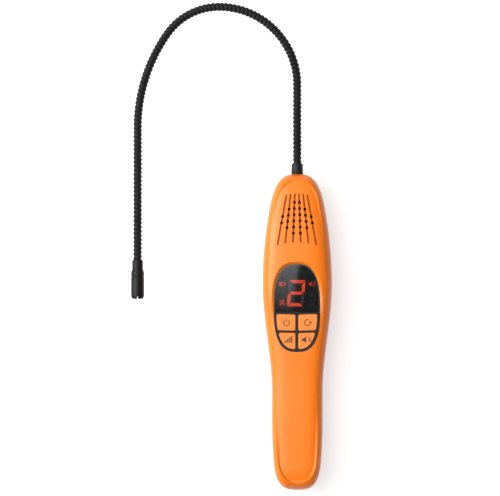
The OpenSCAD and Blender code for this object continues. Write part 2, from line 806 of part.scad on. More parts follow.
module main_board() {
    color([0.05, 0.3, 0.15]) difference() {
        translate([-board_half_w, board_low_y, board_top_z - board_t])
            cube([2 * board_half_w, board_high_y - board_low_y, board_t]);
        for (p = board_posts_at)
            post(p, board_top_z - board_t - cut, board_top_z + cut, board_screw_r + slide_fit);
    }
}
module board_screws() {
    color(steel) for (p = board_posts_at) {
        post(p, board_top_z - board_t - board_screw_head_h, board_top_z - board_t, board_screw_head_r);
        post(p, board_top_z - board_t - e, board_top_z + board_screw_bite, board_screw_r);
    }
}
// Chips on the underside of the board: length along Y, width, height and place
chips = [[10, 10, 1.6, [0, 0]], [8, 5, 1.5, [-8, -16]], [5, 5, 1.4, [8, -15]], [12, 6, 3, [4, 22]]];
module board_chips() {
    color([0.1, 0.1, 0.1]) for (c = chips)
        translate([c[3][0] - c[1] / 2, panel_y + c[3][1] - c[0] / 2, board_top_z - board_t - c[2]])
            cube([c[1], c[0], c[2]]);
}
connector_size = [6, 6, 4];
connector_x = -8;
connector_from_edge = 11;
connector_y = board_high_y - connector_from_edge;
module lead_connector() {
    color([0.92, 0.9, 0.84]) translate([connector_x - connector_size[0] / 2, connector_y,
        board_top_z - board_t - connector_size[2]]) cube(connector_size);
}

// Display: a black block with light windows on its face
display_half_w = 14.6;
display_rim = 1.4;
display_above = 25;
display_low_y = split_y + display_rim;
display_high_y = panel_y + display_above;
module display_module() {
    color([0.03, 0.03, 0.03]) translate([0, 0, board_top_z]) linear_extrude(display_top_z - board_top_z)
        intersection() {
            panel_oval(-seat_lip - slide_fit);
            translate([-display_half_w, display_low_y])
                square([2 * display_half_w, display_high_y - display_low_y]);
        }
}
digit_h = 19;
digit_w = 12;
digit_t = 2.3;
digit_slant = 5;
digit_at = [-0.6, panel_y + 10.8];
segment_gap = 0.4;
segment_tip = 0.85;
segment_heel = 0.5;
module lean() {
    multmatrix([[1, tan(digit_slant), 0, 0], [0, 1, 0, 0], [0, 0, 1, 0], [0, 0, 0, 1]]) children();
}
// One horizontal segment, centred, with mitred ends
module bar(length) {
    a = length / 2 - segment_gap;
    b = digit_t / 2;
    polygon([[-a, b], [a, b], [a - digit_t, -b], [digit_t - a, -b]]);
}
module middle_bar(length) {
    a = length / 2 - segment_gap - digit_t;
    b = digit_t / 2;
    tip = a + digit_t * segment_tip;
    polygon([[-tip, 0], [-a, b], [a, b], [tip, 0], [a, -b], [-a, -b]]);
}
// Segments are named as on any seven-segment digit, a at the top and g in the middle
module segment(name) {
    half = digit_h / 2;
    if (name == "a") translate([0, half - digit_t / 2]) bar(digit_w);
    if (name == "d") translate([0, digit_t / 2 - half]) mirror([0, 1]) bar(digit_w);
    if (name == "g") middle_bar(digit_w);
    for (side = [["f", -1, 1], ["b", 1, 1], ["e", -1, -1], ["c", 1, -1]])
        if (name == side[0])
            translate([side[1] * (digit_w - digit_t) / 2, side[2] * half / 2])
                polygon([
                    [side[1] * digit_t / 2, side[2] * (half / 2 - segment_gap)],
                    [side[1] * digit_t / 2, side[2] * (segment_gap - half / 2)],
                    [-side[1] * digit_t / 2, side[2] * (segment_gap + digit_t * segment_heel - half / 2)],
                    [-side[1] * digit_t / 2, side[2] * (half / 2 - segment_gap - digit_t)]
                ]);
}
module segments(names, tone) {
    color(tone) translate([digit_at[0], digit_at[1], display_top_z]) linear_extrude(segment_t)
        lean() for (s = names) segment(s);
}
lit_red = [1, 0.25, 0.12];
dim_grey = [0.16, 0.16, 0.17];

// Status icons, each drawn round its own middle
icon_left_x = -10.9;
icon_right_x = 10.9;
icon_high_y = panel_y + 17.4;
icon_mid_y = panel_y + 10;
icon_low_y = panel_y + 4;
module ring_arc(r, t, a0, a1) {
    steps = 10;
    polygon(concat(
        [for (i = [0:steps]) let (a = a0 + (a1 - a0) * i / steps) (r + t / 2) * [cos(a), sin(a)]],
        [for (i = [steps:-1:0]) let (a = a0 + (a1 - a0) * i / steps) (r - t / 2) * [cos(a), sin(a)]]
    ));
}
module battery_icon() {
    difference() {
        square([4.6, 2.8], center = true);
        translate([0.9, 0]) square([1.8, 1.8], center = true);
    }
    translate([2.3 - e, -0.7]) square([0.6, 1.4]);
}
module speaker_icon() {
    polygon([[-2.4, -0.7], [-1.5, -0.7], [-0.2, -1.8], [-0.2, 1.8], [-1.5, 0.7], [-2.4, 0.7]]);
    ring_arc(1.2, 0.5, -55, 55);
    ring_arc(2.3, 0.5, -50, 50);
}
module fan_icon() {
    for (k = [0:3]) rotate(45 + 90 * k)
        polygon([[0.3, 0.2], [1.2, 0.9], [2.4, 0.8], [2.4, -0.3], [1.2, -0.3]]);
    circle(d = 1.1, $fn = 24);
}
module alarm_icon() {
    difference() {
        polygon([[-2.3, -1.6], [2.3, -1.6], [0, 2.2]]);
        polygon([[-1.4, -1.1], [1.4, -1.1], [0, 1.2]]);
    }
}
module leak_icon() {
    translate([0, -1.7]) square([4.4, 0.5], center = true);
    for (x = [-1.1, 1.1]) translate([x, 0.3]) rotate(-12) square([0.5, 2.8], center = true);
}
module icons(tone) {
    color(tone) translate([0, 0, display_top_z]) linear_extrude(segment_t) children();
}
module lit_icons() {
    icons(lit_red) {
        translate([icon_left_x, icon_high_y]) battery_icon();
        translate([icon_right_x, icon_high_y]) speaker_icon();
        translate([icon_left_x, icon_low_y]) fan_icon();
    }
}
module dim_icons() {
    icons(dim_grey) {
        translate([icon_right_x, icon_mid_y]) alarm_icon();
        translate([icon_right_x, icon_low_y]) leak_icon();
    }
}

// Sounder: a pressed frame, a paper cone and a magnet
sheet_t = 0.8;
frame_rim_t = 1.8;
frame_lip = 1.6;
frame_step = 3;
frame_bend = 2.4;
frame_eye_r = 4;
frame_base_r = 7;
frame_base_in = 6.5;
module sounder_frame() {
    z0 = sounder_front_z - sounder_frame_h;
    z1 = sounder_front_z;
    color(steel) translate([0, sounder_y, 0]) rotate_extrude() polygon([
        [sounder_r, z1], [sounder_r - frame_lip, z1],
        [sounder_r - frame_lip, z1 - sheet_t], [sounder_r - frame_step, z1 - sheet_t],
        [frame_base_in, z0 + sheet_t], [frame_eye_r, z0 + sheet_t], [frame_eye_r, z0], [frame_base_r, z0],
        [sounder_r - frame_bend, z1 - frame_rim_t], [sounder_r, z1 - frame_rim_t]
    ]);
}
dome_r = 3;
dome_depth = 1.1;
dome_drop = 0.2;
cone_sink = 0.7;
cone_edge_t = 0.3;
paper_t = 0.4;
module sounder_cone() {
    r = sounder_r - frame_lip - fit;
    low = dome_depth + dome_drop;
    color([0.15, 0.14, 0.13]) translate([0, sounder_y, sounder_front_z - cone_sink]) rotate_extrude()
        polygon([
            [0, -low - dome_drop - paper_t], [dome_r, -dome_depth - paper_t], [r, cone_sink - cone_edge_t],
            [r, cone_sink], [dome_r, -dome_depth], [0, -low]
        ]);
}
magnet_r = 8;
pole_r = 3;
pole_h = 1.4;
module sounder_magnet() {
    z0 = sounder_front_z - sounder_frame_h - sounder_magnet_h;
    color([0.3, 0.3, 0.32]) {
        post([0, sounder_y], z0, z0 + sounder_magnet_h, magnet_r);
        post([0, sounder_y], z0 + sounder_magnet_h - e, z0 + sounder_magnet_h + pole_h, pole_r);
    }
}

// Suction fan: an open scroll box, a motor on its floor and a bladed rotor
fan_floor_t = 1;
fan_motor_h = 5;
fan_hub_r = 5.4;
fan_blades = 9;
fan_blade_t = 1;
fan_blade_root = 0.6;
fan_outlet_w = 10;
fan_outlet_rim = 1;
fan_gap = 0.4;
fan_lift = 0.8;
fan_shaft_short = 1.2;
module fan_housing() {
    color([0.1, 0.1, 0.1]) difference() {
        translate([-fan_half, fan_y - fan_half, fan_low_z]) cube([2 * fan_half, 2 * fan_half, fan_h]);
        post([0, fan_y], fan_low_z + fan_floor_t, fan_low_z + fan_h + cut, fan_bore_r);
        translate([-fan_outlet_w / 2, fan_y, fan_low_z + fan_floor_t + fan_outlet_rim])
            cube([fan_outlet_w, fan_half + cut, fan_h - fan_floor_t - 2 * fan_outlet_rim]);
    }
}
module fan_motor() {
    color(steel) {
        post([0, fan_y], fan_low_z + fan_floor_t, fan_low_z + fan_floor_t + fan_motor_h, fan_motor_r);
        post([0, fan_y], fan_low_z + fan_floor_t + fan_motor_h - e, fan_low_z + fan_h - fan_shaft_short,
            fan_shaft_r);
    }
}
module fan_rotor() {
    top = fan_low_z + fan_h - fan_floor_t;
    low = fan_low_z + fan_floor_t + fan_lift;
    color([0.85, 0.85, 0.87]) difference() {
        union() {
            post([0, fan_y], low, top, fan_hub_r);
            for (k = [0:fan_blades - 1]) translate([0, fan_y, low]) rotate([0, 0, 360 * k / fan_blades])
                translate([fan_hub_r - fan_blade_root, -fan_blade_t / 2, 0])
                    cube([fan_rotor_r - fan_hub_r + fan_blade_root / 2, fan_blade_t, top - low]);
        }
        post([0, fan_y], low - cut, fan_low_z + fan_floor_t + fan_motor_h + fan_gap, fan_motor_r + fan_gap);
        post([0, fan_y], low, top + cut, fan_shaft_r + e);
    }
}

// Cells lie in two columns, two cells long, the second column turned round
cell_x = cell_d / 2 + cell_gap / 2;
nub_r = 2.75;
nub_h = 1.2;
column_low_y = [bay_low_y + contact_t + spring_len, bay_low_y + contact_t];
module cell(column, n) {
    turned = column == 1;
    y0 = column_low_y[column] + n * cell_len;
    color([0.12, 0.12, 0.14])
        translate([column == 0 ? -cell_x : cell_x, y0 + (turned ? cell_len : 0), cell_z])
        rotate([turned ? 90 : -90, 0, 0]) {
            cylinder(h = cell_len - nub_h, d = cell_d);
            translate([0, 0, cell_len - nub_h - e]) cylinder(h = nub_h + e, r = nub_r);
        }
}
spring_r0 = 4.6;
spring_r1 = 2.6;
spring_wire_r = 0.35;
spring_turns = 3;
spring_steps = 14;
spring_sides = 6;
spring_seat = 0.8;
// A conical spring that stands on a contact plate, towards +Z of its own frame
module contact_spring() {
    steps = spring_turns * spring_steps;
    rise = spring_len - 2 * spring_wire_r;
    tube([for (i = [0:steps]) let (
            t = i / steps,
            a = 360 * spring_turns * t,
            r = spring_r0 + (spring_r1 - spring_r0) * t,
            z = spring_wire_r * spring_seat + rise * t
        )
        [for (j = [0:spring_sides - 1]) let (b = 360 * j / spring_sides, q = r + spring_wire_r * cos(b))
            [q * cos(a), q * sin(a), z + spring_wire_r * sin(b)]]]);
}
contact_half = 5.6;
module contact_plate(x0, x1, y) {
    translate([x0 - contact_half, y, cell_z - contact_half])
        cube([x1 - x0 + 2 * contact_half, contact_t, 2 * contact_half]);
}
module bridge_contact() {
    color(steel) {
        contact_plate(-cell_x, cell_x, bay_low_y);
        translate([-cell_x, bay_low_y + contact_t - spring_wire_r / 2, cell_z]) rotate([-90, 0, 0])
            contact_spring();
    }
}
contact_top_y = bay_high_y - contact_t;
module positive_contact() {
    color(steel) contact_plate(-cell_x, -cell_x, contact_top_y);
}
module negative_contact() {
    color(steel) {
        contact_plate(cell_x, cell_x, contact_top_y);
        translate([cell_x, contact_top_y + spring_wire_r / 2, cell_z]) rotate([90, 0, 0]) contact_spring();
    }
}

// Boot, ferrule and nut that hold the gooseneck in the top end
neck_fit_r = neck_d / 2 + fit;
boot_low_y = end_wall_in_y - fit - boot_flange_t;
module neck_boot() {
    color(dark) difference() {
        union() {
            along_y(boot_low_y, boot_low_y + boot_flange_t, boot_flange_r);
            along_y(boot_low_y + boot_flange_t - e, top_y + 2 * e, boot_hole_r - fit);
            along_y(top_y + e, top_y + e + boot_len, boot_base_r, boot_top_r);
        }
        along_y(boot_low_y - cut, top_y + boot_len + 2 * cut, neck_fit_r);
    }
}
module neck_ferrule() {
    color(brass) difference() {
        along_y(ferrule_top_y - ferrule_len, ferrule_top_y, ferrule_r);
        along_y(ferrule_top_y - ferrule_len - cut, neck_start_y, lead_r + lead_gap);
        along_y(neck_start_y - fit, ferrule_top_y + cut, neck_fit_r);
    }
}
module neck_nut() {
    y0 = cradle_y + cradle_t + ferrule_stand;
    color(brass) difference() {
        translate([0, y0, part_z]) rotate([-90, 0, 0]) cylinder(h = nut_t, r = nut_r, $fn = 6);
        along_y(y0 - cut, y0 + nut_t + cut, ferrule_r + e);
    }
}

// Sensor lead: from the connector into the gooseneck and through it to the sensor socket
lead_sides = 6;
lead_step = 6.5;
lead_drop_y = connector_y + connector_size[1];
lead_z = board_top_z - board_t - connector_size[2] / 2;
lead_approach = 4;
lead_tail = 1.5;
lead_end = neck_len + lead_tail;
lead_inside = [
    [connector_x, lead_drop_y + e, lead_z], [connector_x, lead_drop_y + 4, lead_z],
    [connector_x + 2, lead_drop_y + 11, lead_z - 1], [-3, neck_start_y - 22, part_z + 2],
    [0, neck_start_y - 10, part_z + 0.2]
];
function lead_line() = concat(
    lead_inside,
    [for (s = spread(-lead_approach, lead_end, lead_step))
        let (p = s < 0 ? [0, neck_start_y + s] : neck_at(s)) [p[0], p[1], part_z]]
);
module sensor_lead() {
    line = lead_line();
    last = len(line) - 1;
    color([0.25, 0.25, 0.26]) tube([for (i = [0:last]) let (
            d = line[min(last, i + 1)] - line[max(0, i - 1)],
            u = d / norm(d),
            side = [-u[1], u[0], 0] / norm([u[0], u[1]]),
            up = cross(u, side)
        )
        [for (j = [0:lead_sides - 1]) let (a = -360 * j / lead_sides)
            line[i] + lead_r * (cos(a) * side + sin(a) * up)]]);
}

// Probe head pieces, turned about the probe's axis
holder_r = cap_d / 2;
holder_bore = neck_tip_insert + fit;
socket_sink = 0.6;
socket_at = holder_len + spigot_len - socket_len - socket_sink;
edge_chamfer = 0.15;
mouth_chamfer = 0.5;
module probe_holder() {
    fr = ferrule_d / 2;
    a = holder_ferrule_len;
    b = holder_ferrule_len + holder_flare_len;
    color(dark) at_head(0) rotate_extrude() difference() {
        polygon([
            [lead_r + lead_gap, 0], [fr - mouth_chamfer, 0], [fr, mouth_chamfer], [fr, a],
            [fr + (holder_r - fr) * 0.55, a + (b - a) * 0.4],
            [holder_r - 0.08, a + (b - a) * 0.8], [holder_r, b], [holder_r, holder_len - edge_chamfer],
            [holder_r - edge_chamfer, holder_len], [spigot_r, holder_len], [spigot_r, seal_low],
            [spigot_r - seal_groove_depth, seal_low],
            [spigot_r - seal_groove_depth, seal_low + seal_groove_w],
            [spigot_r, seal_low + seal_groove_w],
            [spigot_r, holder_len + spigot_len], [lead_r + lead_gap, holder_len + spigot_len]
        ]);
        translate([0, -cut]) square([neck_fit_r, holder_bore + cut]);
        translate([0, socket_at]) square([socket_r + fit, socket_len + socket_sink + cut]);
    }
}
module cap_seal() {
    color([0.1, 0.1, 0.1]) at_head(holder_len + seal_from_shoulder + seal_groove_w / 2) rotate_extrude()
        translate([spigot_r + seal_proud - seal_r, 0]) circle(r = seal_r);
}
pin_r = 0.3;
pin_circle_r = 1.6;
pin_grip = 1.6;
pin_floor = 1;
pin_sides = 24;
module pin_places() {
    for (a = [0, 120, 240]) rotate([0, 0, a]) translate([pin_circle_r, 0, 0]) children();
}
module sensor_socket() {
    color([0.9, 0.88, 0.82]) at_head(socket_at) difference() {
        cylinder(h = socket_len, r = socket_r);
        translate([0, 0, -cut]) cylinder(h = 2 * cut, r = lead_r + slide_fit);
        pin_places() translate([0, 0, pin_floor]) cylinder(h = socket_len, r = pin_r + e, $fn = pin_sides);
    }
}
pin_low = socket_at + socket_len - pin_grip;
sensor_stand = 0.4;
sensor_room = 2;
sensor_low = holder_len + spigot_len + sensor_stand;
sensor_len = cap_len - cap_end_t - spigot_len - sensor_room;
sensor_brim = 0.3;
sensor_brim_t = 0.6;
sensor_crown_h = 1;
sensor_crown_in = 0.7;
module sensor_pins() {
    color(brass) at_head(pin_low) pin_places()
        cylinder(h = sensor_low - pin_low, r = pin_r, $fn = pin_sides);
}
module sensor_element() {
    crown_z = sensor_len - sensor_crown_h;
    color([0.8, 0.81, 0.83]) at_head(sensor_low) {
        cylinder(h = crown_z, r = sensor_r);
        cylinder(h = sensor_brim_t, r = sensor_r + sensor_brim);
        translate([0, 0, crown_z - e])
            cylinder(h = sensor_crown_h, r1 = sensor_r, r2 = sensor_r - sensor_crown_in);
    }
}
cap_gap = 0.15;
module sensor_cap() {
    r = cap_d / 2;
    inner = r - cap_wall;
    color(dark) at_head(holder_len + cap_gap) difference() {
        rotate_extrude() difference() {
            union() {
                square([r, cap_len - cap_edge_r]);
                square([r - cap_edge_r, cap_len]);
                translate([r - cap_edge_r, cap_len - cap_edge_r]) circle(r = cap_edge_r);
            }
            translate([-cut, -cut]) square([inner + cut, cap_len - cap_end_t + cut]);
        }
        for (a = [0, 90]) rotate([0, 0, a])
            translate([-r - cut, -cap_slot_w / 2, cap_len - cap_slot_depth])
                cube([2 * (r + cut), cap_slot_w, cap_slot_depth + cut]);
    }
}

front_shell();
rear_shell();
battery_door();
case_screws();
display_lens();
keypad_bezel();
key(0);  // key_power
key(1);  // key_reset
key(2);  // key_sensitivity
key(3);  // key_mute
plunger(0);  // plunger_power
plunger(1);  // plunger_reset
plunger(2);  // plunger_sensitivity
plunger(3);  // plunger_mute
switch_bodies();
main_board();
board_chips();
board_screws();
lead_connector();
display_module();
segments(["a", "b", "g", "e", "d"], lit_red);  // lit_segments
segments(["f", "c"], dim_grey);  // dim_segments
lit_icons();
dim_icons();
sounder_frame();
sounder_cone();
sounder_magnet();
fan_housing();
fan_motor();
fan_rotor();
cell(0, 0);  // cell_1
cell(0, 1);  // cell_2
cell(1, 0);  // cell_3
cell(1, 1);  // cell_4
bridge_contact();
positive_contact();
negative_contact();
neck_boot();
neck_ferrule();
neck_nut();
neck_length(0);  // gooseneck_root
neck_length(1);  // gooseneck_link_1
neck_length(2);  // gooseneck_link_2
neck_length(3);  // gooseneck_link_3
neck_length(4);  // gooseneck_link_4
sensor_lead();
probe_holder();
sensor_socket();
sensor_pins();
sensor_element();
cap_seal();
sensor_cap();
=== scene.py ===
import logging
import math
from collections.abc import Callable, Iterator, Sequence
from contextlib import contextmanager
from dataclasses import dataclass
from enum import Enum
from functools import cache

import bmesh
import bpy
from mathutils import Matrix, Vector


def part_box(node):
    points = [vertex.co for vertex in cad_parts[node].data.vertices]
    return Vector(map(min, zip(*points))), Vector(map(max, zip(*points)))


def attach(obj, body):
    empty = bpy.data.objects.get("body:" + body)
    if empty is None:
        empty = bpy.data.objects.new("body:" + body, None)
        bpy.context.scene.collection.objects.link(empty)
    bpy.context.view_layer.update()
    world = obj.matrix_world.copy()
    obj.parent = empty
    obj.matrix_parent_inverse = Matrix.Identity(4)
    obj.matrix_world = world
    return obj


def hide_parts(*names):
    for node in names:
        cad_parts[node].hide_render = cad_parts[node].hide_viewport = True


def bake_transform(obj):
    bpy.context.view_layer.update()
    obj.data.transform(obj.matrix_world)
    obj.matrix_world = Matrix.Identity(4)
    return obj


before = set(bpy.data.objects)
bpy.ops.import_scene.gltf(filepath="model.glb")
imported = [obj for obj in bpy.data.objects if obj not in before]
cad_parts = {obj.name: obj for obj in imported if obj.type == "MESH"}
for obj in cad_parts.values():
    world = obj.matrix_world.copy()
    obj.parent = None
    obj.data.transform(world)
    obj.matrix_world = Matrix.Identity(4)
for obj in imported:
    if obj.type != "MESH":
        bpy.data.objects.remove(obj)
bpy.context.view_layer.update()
LOG = logging.getLogger("leak_detector")
MM = 0.001
CORNER_STEP = math.radians(14)

Point = tuple[float, float]
Triple = tuple[float, float, float]
Colour = Triple
Piece = bpy.types.Object
Socket = bpy.types.NodeSocket


def clamp01(t: float) -> float:
    """Holds a share between nought and one."""
    return max(0.0, min(1.0, t))


def smooth_step(t: float) -> float:
    """Eases a share in and out."""
    u = clamp01(t)
    return u * u * (3 - 2 * u)


def srgb(red: int, green: int, blue: int) -> Colour:
    """Turns a screen colour into scene-linear values.

    Args:
        red: Red from 0 to 255.
        green: Green from 0 to 255.
        blue: Blue from 0 to 255.

    Returns:
        The three linear values.
    """
    def line(v: int) -> float:
        """Linearises one channel."""
        c = v / 255
        return c / 12.92 if c <= 0.04045 else ((c + 0.055) / 1.055) ** 2.4
    return line(red), line(green), line(blue)


def tinted(colour: Colour, share: float) -> Colour:
    """Lightens or darkens a colour by a share."""
    return tuple(clamp01(c * (1 + share)) for c in colour)


def clip(outline: Sequence[Point], at: Point, normal: Point) -> list[Point]:
    """Keeps the part of a convex outline on the side that a normal points to.

    Args:
        outline: Corners in order.
        at: A point on the cutting line.
        normal: Direction of the side that stays.

    Returns:
        The corners of what is left.
    """
    def depth(p: Point) -> float:
        """Distance of a corner from the line."""
        return (p[0] - at[0]) * normal[0] + (p[1] - at[1]) * normal[1]
    kept: list[Point] = []
    for i, p in enumerate(outline):
        q = outline[(i + 1) % len(outline)]
        dp, dq = depth(p), depth(q)
        if dp >= 0:
            kept.append(p)
        if dp * dq < 0:
            t = dp / (dp - dq)
            kept.append((p[0] + t * (q[0] - p[0]), p[1] + t * (q[1] - p[1])))
    return kept


def rounded(outline: Sequence[Point], inset: float, radius: float) -> list[Point]:
    """Shrinks a convex outline and grows it again with round corners.

    Args:
        outline: Corners in order, anticlockwise.
        inset: Distance that every edge moves in first.
        radius: Distance that the outline grows by afterwards.

    Returns:
        The corners of the rounded outline.
    """
    core = list(outline)
    edges = [(Vector(p), Vector(q)) for p, q in zip(outline, [*outline[1:], outline[0]])]
    for p, q in edges:
        if (q - p).length > 1e-6:
            inward = Vector((p.y - q.y, q.x - p.x)).normalized()
            core = clip(core, tuple(p + inset * inward), tuple(inward))
    grown: list[Point] = []
    for i, corner in enumerate(core):
        before = Vector(corner) - Vector(core[i - 1])
        after = Vector(core[(i + 1) % len(core)]) - Vector(corner)
        start = math.atan2(-before.x, before.y)
        turn = (math.atan2(-after.x, after.y) - start) % (2 * math.pi)
        steps = max(1, math.ceil(turn / CORNER_STEP))
        grown += [(corner[0] + radius * math.cos(a), corner[1] + radius * math.sin(a))
                  for a in (start + turn * k / steps for k in range(steps + 1))]
    return grown


class Bench:
    """Modelling steps that every piece shares. Sizes are in millimetres."""

    # Points closer than this are merged, in a new piece and in a copied node.
    WELD = 0.002
    NODE_WELD = 0.001

    @staticmethod
    def clear() -> None:
        """Deselects everything."""
        bpy.ops.object.select_all(action="DESELECT")

    @staticmethod
    def only(obj: Piece) -> None:
        """Selects one object and makes it active."""
        Bench.clear()
        obj.select_set(True)
        bpy.context.view_layer.objects.active = obj

    @staticmethod
    @contextmanager
    def editing(obj: Piece) -> Iterator[None]:
        """Opens an object in edit mode and closes it again."""
        Bench.only(obj)
        bpy.ops.object.mode_set(mode="EDIT")
        try:
            yield
        finally:
            bpy.ops.object.mode_set(mode="OBJECT")

    @staticmethod
    def named(name: str) -> Piece:
        """Names the active object and its mesh."""
        obj = bpy.context.active_object
        obj.name = name
        obj.data.name = name
        return obj

    @staticmethod
    def outward(obj: Piece) -> Piece:
        """Turns the faces of a piece outwards."""
        with Bench.editing(obj):
            bpy.ops.mesh.select_all(action="SELECT")
            bpy.ops.mesh.normals_make_consistent(inside=False)
            if bmesh.from_edit_mesh(obj.data).calc_volume(signed=True) < 0:
                bpy.ops.mesh.flip_normals()
        return obj

    @staticmethod
    def weld(obj: Piece) -> Piece:
        """Merges doubled points and turns the faces outwards."""
        with Bench.editing(obj):
            bpy.ops.mesh.select_all(action="SELECT")
            bpy.ops.mesh.remove_doubles(threshold=Bench.WELD * MM)
        return Bench.outward(obj)

    @staticmethod
    def grid(name: str, cols: int, rows: int, place: Callable[[float, float], Vector]) -> Piece:
        """Lays a grid over a surface.

        Args:
            name: Name of the piece.
            cols: Faces across.
            rows: Faces along.
            place: Gives the point for a share across and a share along.

        Returns:
            The open grid.
        """
        Bench.clear()
        bpy.ops.mesh.primitive_grid_add(x_subdivisions=cols, y_subdivisions=rows, size=1.0)
        obj = Bench.named(name)
        for v in obj.data.vertices:
            v.co = place(round((v.co.x + 0.5) * cols) / cols, round((v.co.y + 0.5) * rows) / rows) * MM
        return obj

    @staticmethod
    def tube(name: str, around: int, along: int, place: Callable[[float, float], Vector],
             capped: bool = True) -> Piece:
        """Closes a grid round into a tube.

        Args:
            name: Name of the piece.
            around: Faces round the tube.
            along: Faces along the tube.
            place: Gives the point for a share round and a share along.
            capped: Whether the two ends are filled.

        Returns:
            The tube.
        """
        obj = Bench.grid(name, around, along, place)
        Bench.weld(obj)
        if capped:
            with Bench.editing(obj):
                bpy.ops.mesh.select_all(action="SELECT")
                bpy.ops.mesh.fill_holes(sides=0)
            Bench.outward(obj)
        return obj

    @staticmethod
    def lathe(name: str, profile: Sequence[Point], turn: Callable[[float, float, float], Vector],
              steps: int = 64) -> Piece:
        """Turns a profile about an axis.

        Args:
            name: Name of the piece.
            profile: Radius and place along the axis, in order.
            turn: Gives the point for an angle, a radius and a place along the axis.
            steps: Faces round the axis.

        Returns:
            The turned piece.
        """
        last = len(profile) - 1

        def place(u: float, v: float) -> Vector:
            """Point of the profile at one angle."""
            radius, along = profile[round(v * last)]
            return turn(2 * math.pi * u, radius, along)
        return Bench.tube(name, steps, last, place, capped=False)

    @staticmethod
    def prism(name: str, outline: Sequence[Point], low: float, high: float) -> Piece:
        """Raises an outline into a block.

        Args:
            name: Name of the piece.
            outline: Corners in order.
            low: Height of the bottom.
            high: Height of the top.

        Returns:
            The block.
        """
        Bench.clear()
        bpy.ops.mesh.primitive_circle_add(vertices=len(outline), radius=1.0, fill_type="NGON")
        obj = Bench.named(name)
        for v, p in zip(obj.data.vertices, outline):
            v.co = Vector((p[0], p[1], low)) * MM
        with Bench.editing(obj):
            bpy.ops.mesh.select_all(action="SELECT")
            bpy.ops.mesh.extrude_region_move(TRANSFORM_OT_translate={"value": (0, 0, (high - low) * MM)})
        return Bench.outward(obj)

    @staticmethod
    def block(name: str, low: Sequence[float], high: Sequence[float]) -> Piece:
        """Makes a box from its lowest to its highest corner."""
        corners = [(low[0], low[1]), (high[0], low[1]), (high[0], high[1]), (low[0], high[1])]
        return Bench.prism(name, corners, low[2], high[2])

    @staticmethod
    def rod(name: str, at: Sequence[float], axis: str, length: float, radius: float,
            sides: int = 48) -> Piece:
        """Makes a round bar from a point along Y or Z.

        Args:
            name: Name of the piece.
            at: Middle of the bar's first end.
            axis: Letter of the axis that it runs along.
            length: Length of the bar.
            radius: Radius of the bar.
            sides: Faces round it.

        Returns:
            The bar.
        """
        Bench.clear()
        half = Vector((0, length / 2, 0)) if axis == "Y" else Vector((0, 0, length / 2))
        bpy.ops.mesh.primitive_cylinder_add(vertices=sides, radius=radius * MM, depth=length * MM)
        obj = Bench.named(name)
        turn = Matrix.Rotation(-math.pi / 2, 4, "X") if axis == "Y" else Matrix.Identity(4)
        obj.data.transform(Matrix.Translation((Vector(at) + half) * MM) @ turn)
        return obj

    @staticmethod
    def boolean(obj: Piece, tool: Piece, operation: str = "DIFFERENCE") -> Piece:
        """Cuts, joins or crosses a piece with a tool, and throws the tool away."""
        mod = obj.modifiers.new("cut", "BOOLEAN")
        mod.operation = operation
        mod.solver = "EXACT"
        mod.object = tool
        Bench.only(obj)
        bpy.ops.object.modifier_apply(modifier=mod.name)
        mesh = tool.data
        bpy.data.objects.remove(tool)
        bpy.data.meshes.remove(mesh)
        return obj

    @staticmethod
    def join(pieces: Sequence[Piece]) -> Piece:
        """Joins pieces into the first one."""
        Bench.clear()
        for piece in pieces:
            piece.select_set(True)
        bpy.context.view_layer.objects.active = pieces[0]
        bpy.ops.object.join()
        return pieces[0]

    @staticmethod
    def soften(obj: Piece, width: float, segments: int = 3, angle: float = 40) -> Piece:
        """Rounds a piece's sharp edges with an applied bevel."""
        mod = obj.modifiers.new("edge", "BEVEL")
        mod.width = width * MM
        mod.segments = segments
        mod.limit_method = "ANGLE"
        mod.angle_limit = math.radians(angle)
        Bench.only(obj)
        bpy.ops.object.modifier_apply(modifier=mod.name)
        return obj

    @staticmethod
    def shade(obj: Piece, angle: float = 35) -> Piece:
        """Shades a piece smooth up to an edge angle."""
        Bench.only(obj)
        bpy.ops.object.shade_smooth_by_angle(angle=math.radians(angle))
        return obj

    @staticmethod
    def even(obj: Piece) -> Piece:
        """Keeps large faces flat beside their rounded edges."""
        mod = obj.modifiers.new("even", "WEIGHTED_NORMAL")
        mod.keep_sharp = True
        mod.weight = 100
        Bench.only(obj)
        bpy.ops.object.modifier_apply(modifier=mod.name)
        return obj

    @staticmethod
    def dress(obj: Piece, material: bpy.types.Material) -> Piece:
        """Gives a piece its one material."""
        obj.data.materials.clear()
        obj.data.materials.append(material)
        return obj

    @staticmethod
    def copy_of(node: str, name: str) -> Piece:
        """Copies a frame node into a welded piece of its own."""
        obj = bpy.data.objects.new(name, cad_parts[node].data.copy())
        bpy.context.scene.collection.objects.link(obj)
        with Bench.editing(obj):
            bpy.ops.mesh.select_all(action="SELECT")
            bpy.ops.mesh.remove_doubles(threshold=Bench.NODE_WELD * MM)
        return obj


